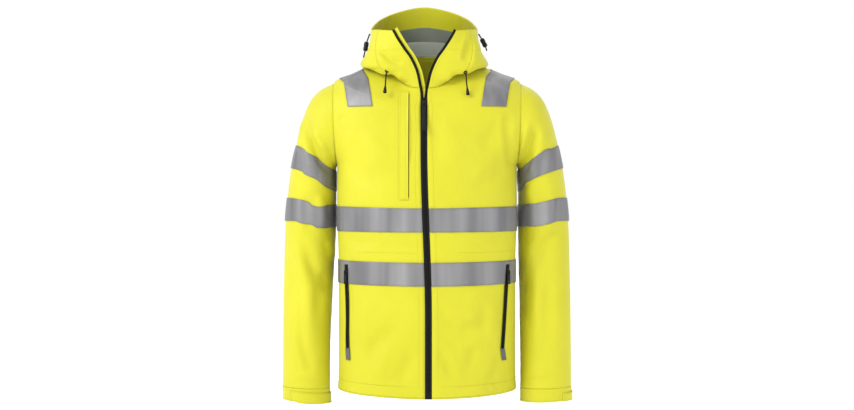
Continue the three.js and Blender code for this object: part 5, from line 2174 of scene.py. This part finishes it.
@dataclass
class ZipHead:
    """A slider with its bail and the pull that swings in it."""

    prefix: str
    body: tuple[float, float]
    pull: Triple
    place: Matrix
    rides: str
    nodes: tuple[str, str]
    plate: float = 2.4
    pivot: float = 4.3

    def build(self) -> None:
        """Builds the slider, the bail and the pull."""
        wide, long = self.body
        slider = Bench(f"{self.prefix}_slider_body").block((wide, self.plate, long), (0, -self.plate / 2, 0))
        slider.cuts("z", -1.0, long * 0.28)
        slider.choose("VERT", lambda p: p.z < -1.5).size(0.62, 1, 1, (0, 0, 0))
        slider.choose("EDGE", lambda p: abs(p.z) > long / 2 - 0.3 and abs(p.x) > wide * 0.25)
        slider.bevel(wide * 0.16, 4)
        slider.choose("FACE", lambda p: p.y < -self.plate + 0.1).inset(1.0).extrude(y=-0.35)
        slider.finish(self.place, Finish.PLASTIC, nodes=[self.nodes[0]])
        bail = Bench(f"{self.prefix}_slider_bail").ring(4.35, 0.85)
        bpy.ops.transform.rotate(value=math.pi / 2, orient_axis="Y", center_override=(0, 0, 0))
        bail.size(1.3, 1.0, 1.0).move(y=-(self.plate + 0.5))
        bail.cut((0, -self.plate + 0.9, 0), (0, 1, 0), clear=True)
        bail.finish(self.place, Finish.PLASTIC, nodes=[], soften=0.0)
        self.tab()

    def tab(self) -> None:
        """The pull, with a window for the bail and an eye at its end."""
        long, wide, thick = self.pull
        y = -self.pivot
        foot = -long
        tab = Bench(f"{self.prefix}_pull_tab").block((wide, thick, long + 0.8), (0, y, (0.8 - long) / 2))
        eye = foot + wide / 2
        tab.cuts("x", -1.6, 1.6, -1.2, 1.2)
        tab.cuts("z", -0.9, -6.3, eye + 1.2, eye - 1.2, foot + wide * 1.3, -8.6)
        for reach, middle, half in ((1.6, -3.6, 2.6), (0.9, eye, 0.8)):
            tab.choose("FACE", lambda p: abs(p.x) < reach and abs(p.z - middle) < half
                       and abs(abs(p.y - y) - thick / 2) < 0.1).bridge()
        for low, high, width, segments in ((-math.inf, foot + 0.3, wide * 0.44, 6), (0.5, math.inf, 1.4, 4)):
            tab.choose("EDGE", lambda p: abs(abs(p.x) - wide / 2) < 0.05 and abs(p.y - y) < 0.1
                       and low < p.z < high).bevel(width, segments)
        if long > LONG_PULL:
            tab.choose("FACE", lambda p: p.y < y - thick / 2 + 0.1 and foot + wide * 1.4 < p.z < -9.0)
            tab.inset(0.8).extrude(y=-0.45)
        tab.finish(self.place, Finish.PLASTIC, self.rides, [self.nodes[1]], soften=0.3)


@dataclass
class CordWork:
    """The hood's cords with their eyelets, ends and locks."""

    diameter: float = 3.0
    lock_at: Array = field(default_factory=lambda: np.array([0.55, 0.58]))

    def build(self) -> None:
        """Builds all four cords."""
        for side, seat_at, hang in DRAWCORDS:
            self.drawcord(side, seat_at, np.array(hang, float))
        for side, exit_at, hang in SIDE_CORDS:
            self.side_cord(side, exit_at, np.array(hang, float))

    def at(self, place: tuple[float, float]) -> tuple[Array, Array]:
        """A point of the hood and its normal."""
        point, normal = COLLAR.base(np.array([place[0]]), np.array([place[1]]))
        return point[0], normal[0]

    def drawcord(self, side: Side, seat_at: tuple[float, float], hang: Array) -> None:
        """Builds a cord out of an eyelet, with a bell at its end.

        Args:
            side: Whose side it is on.
            seat_at: The eyelet's turn and height on the hood.
            hang: The cord's later points, from its first bend.
        """
        point, normal = self.at(seat_at)
        seat = point + normal * 0.5
        start = seat + normal * 1.4
        bend = start + normal * 2.2 + np.array([0, 0, -2.0])
        cord, line = self.braid(f"drawcord_{side.word}", [start, bend, *(bend + hang)])
        end, before = bend + hang[-1], bend + hang[-2]
        way = (end - before) / np.linalg.norm(end - before)
        bell = Bench(f"cord_end_{side.word}_bell").drum(2.1, 15.0, sides=22)
        bell.cuts("z", 3.0, 11.25, 14.0)
        for low, scale in ((2.0, 1.18), (10.0, 1.57), (14.6, 0.88)):
            bell.choose("VERT", lambda p: p.z > low).size(scale, scale, 1)
        bell.choose("FACE", lambda p: p.z > 14.9).inset(0.8).extrude(z=-1.6)
        end_piece = bell.finish(line_frame(end + way * 0.3, way), Finish.PLASTIC,
                                nodes=[f"cord_end_{side.word}"])
        ring = Bench(f"eyelet_{side.word}_ring").ring(3.25, 1.15, (32, 14))
        ring.size(1, 1, 0.62).cut((0, 0, -0.45), (0, 0, -1), clear=True)
        ring.finish(line_frame(seat + normal * 0.35, normal), Finish.PLASTIC,
                    nodes=[f"eyelet_{side.word}"], soften=0)
        self.declare(cord, line, "fitting", [end_piece])

    def side_cord(self, side: Side, exit_at: tuple[float, float], hang: Array) -> None:
        """Builds a cord at the hood's side, through its lock.

        Args:
            side: Whose side it is on.
            exit_at: The turn and height on the hood at which it comes out.
            hang: The cord's later points, from there.
        """
        point, normal = self.at(exit_at)
        start = point + normal * 1.1
        bend = start + normal * 2.0
        cord, line = self.braid(f"side_cord_{side.word}", [start, bend, *(start + hang)])
        reach = reach_of(line)
        middle, ahead = sampled(self.lock_at * reach[-1], reach, line)
        lock = Bench(f"cord_lock_{side.word}_barrel").drum(5.2, 20.0, base=-10.0, sides=26)
        lock.cuts("z", -7.5, -1.0, -0.4, 1.6, 2.2, 7.5)
        lock.choose("FACE", lambda p: abs(p.z) > 9.9).inset(2.35).bridge()
        for low, high, scale in ((9.5, math.inf, 0.8), (-math.inf, -9.5, 0.8), (-0.6, 1.8, 0.9)):
            lock.choose("VERT", lambda p: low < p.z < high and math.hypot(p.x, p.y) > 4).size(scale, scale, 1)
        barrel = lock.finish(line_frame(middle, ahead - middle), Finish.PLASTIC,
                             nodes=[f"cord_lock_{side.word}"])
        self.declare(cord, line, "bare", [barrel])

    @staticmethod
    def braid(name: str, knots: Sequence[Array]) -> tuple[Piece, Array]:
        """A cord through knots, in the place of a node.

        Args:
            name: The node.
            knots: The points that it passes.

        Returns:
            The cord and the close points of its line.
        """
        route = Route(f"{name}_braid", np.stack(knots))
        return dress(route.tube(), Finish.CORD, nodes=[name]), route.line()

    def declare(self, cord: Piece, line: Array, end: str, pieces: Sequence[Piece]) -> None:
        """Works out a cord's points in metres, and keeps nothing.

        Args:
            cord: The cord; not used.
            line: Its close points, from where it leaves the hood.
            end: What its far end is; not used.
            pieces: The pieces that hang on it; not used.
        """
        tuple(line[0] * MM)
        [tuple(p * MM) for p in line]


DRAWCORDS = (
    (Side.RIGHT, (0.55, 2.3), ((-1, -4, -10), (-1.6, -7.5, -20), (-2.2, -11, -31))),
    (Side.LEFT, (3.38, 2.3), ((0.6, -4, -10), (1.2, -7.5, -20), (2.4, -11, -31))),
)
SIDE_CORDS = (
    (Side.RIGHT, (0.97, 4.7), ((-4, -2.5, -6), (-8, -5, -18), (-10.5, -6.5, -32), (-15, -7, -52))),
    (Side.LEFT, (3.03, 4.7), ((4, -1, -4), (8, -1.3, -10), (12, -1.6, -18), (16, -2, -26), (19, -2, -36))),
)


# Each lamp's name, place, aim, size and power.
LAMPS = (
    ("key", (-2.1, -1.7, 1.3), (0, 0, -0.3), 1.3, 66),
    ("fill", (2.0, -2.4, 0.3), (0, 0, -0.4), 1.6, 17),
    ("rim", (0.6, 1.6, 1.6), (0, 0, -0.2), 1.4, 8),
)
WHITE = (1, 1, 1, 1)


@dataclass
class Studio:
    """The camera, the lights, the floor and the white surroundings."""

    distance: float = 2.7
    height: float = -0.322
    lens: float = 51.27

    def camera(self) -> None:
        """Puts the camera level in front of the jacket."""
        camera = bpy.data.cameras.new("camera")
        camera.lens = self.lens
        camera.sensor_width = 36
        eye = bpy.data.objects.new("camera", camera)
        eye.location = (0, -self.distance, self.height)
        eye.rotation_euler = (math.pi / 2, 0, 0)
        bpy.context.scene.collection.objects.link(eye)
        bpy.context.scene.camera = eye

    def lamp(self, name: str, place: Triple, aim: Triple, size: float,
             power: float) -> None:
        """Adds a soft lamp that looks at a point.

        Args:
            name: Its name.
            place: Where it is.
            aim: What it looks at.
            size: Its side.
            power: Its power in watts.
        """
        light = bpy.data.lights.new(name, "AREA")
        light.size = size
        light.energy = power
        lamp = bpy.data.objects.new(name, light)
        lamp.location = place
        lamp.rotation_euler = (Vector(aim) - Vector(place)).to_track_quat("-Z", "Y").to_euler()
        bpy.context.scene.collection.objects.link(lamp)

    def build(self) -> None:
        """Lights the white room."""
        for lamp in LAMPS:
            self.lamp(*lamp)
        world = bpy.data.worlds.new("studio")
        bpy.context.scene.world = world
        world.use_nodes = True
        background = world.node_tree.nodes["Background"]
        background.inputs["Color"].default_value = WHITE
        background.inputs["Strength"].default_value = 1.0
        bpy.context.scene.view_settings.view_transform = "Standard"
        bpy.ops.mesh.primitive_plane_add(size=60, location=(0, 0, -0.8))
        floor = bpy.context.object
        floor.name = "studio_floor"
        material = bpy.data.materials.new("studio_white")
        material.use_nodes = True
        surface = material.node_tree.nodes["Principled BSDF"]
        paint = {"Base Color": (0.9, 0.9, 0.9, 1), "Roughness": 0.9,
                 "Emission Color": WHITE, "Emission Strength": 0.35}
        for name, value in paint.items():
            surface.inputs[name].default_value = value
        floor.data.materials.append(material)


def build_heads() -> None:
    """Builds the three zip heads."""
    at = TORSO.station_at(FRONT_HEAD)
    point, normal = FRONTS[Side.LEFT].base(np.array([NEAR_EDGE]), np.array([at]))
    point, normal = point[0].copy(), normal[0].copy()
    point[0], normal[0] = float(TORSO.lean(point[2])), 0.0
    normal /= np.linalg.norm(normal)
    frame = head_frame(point, normal, FRONT_HEAD_LIFT)
    ZipHead("front_zip", (10.5, 19), (66, 7.4, 1.6), frame, "front_pull",
            ("front_zip_slider", "front_zip_pull")).build()
    for side in Side:
        # The node of the surface's grid that lies nearest to the head's place, as in the CAD.
        shares = side.value * np.maximum(grid_of(0, 1, SHARES), NEAR_EDGE)
        across, along = np.meshgrid(shares, grid_of(0, NECK, STATIONS))
        seen = FRONTS[side].surface(across, along)[..., [0, 2]]
        wanted = np.array(POCKET_HEAD) * (side.value, 1.0)
        nearest = np.argmin(np.linalg.norm(seen - wanted, axis=-1))
        point, normal = FRONTS[side].base(across.ravel()[[nearest]], along.ravel()[[nearest]])
        frame, name = head_frame(point[0], normal[0], POCKET_HEAD_LIFT), f"pocket_{side.word}"
        ZipHead(name, (8, 14), (27, 8.6, 1.5), frame, f"pocket_pull_{side.word}",
                (f"{name}_slider", f"{name}_pull")).build()


def main() -> None:
    """Builds the jacket in order: the camera and the cords come first."""
    logging.basicConfig(level=logging.INFO, format="%(message)s")
    studio = Studio()
    studio.camera()
    CordWork().build()
    panel_thread, tape_thread, zip_thread = Stitches(), Stitches(), Stitches()
    shell = Shell(panel_thread)
    panels = shell.build()
    tapes = Tapes(tape_thread).build()
    zips = Zips(panel_thread, zip_thread).build()
    for name, (piece, cloth) in panels.items():
        sewn_on = [other for group in (tapes, zips, shell.tabs) for other in group.get(name, ())]
        shell.declare(piece, cloth, sewn_on)
    build_heads()
    panel_thread.piece("panel_stitches", Finish.YELLOW_THREAD)
    tape_thread.piece("tape_stitches", Finish.GREY_THREAD)
    zip_thread.piece("zip_stitches", Finish.BLACK_THREAD)
    studio.build()


if __name__ == "__main__":
    main()
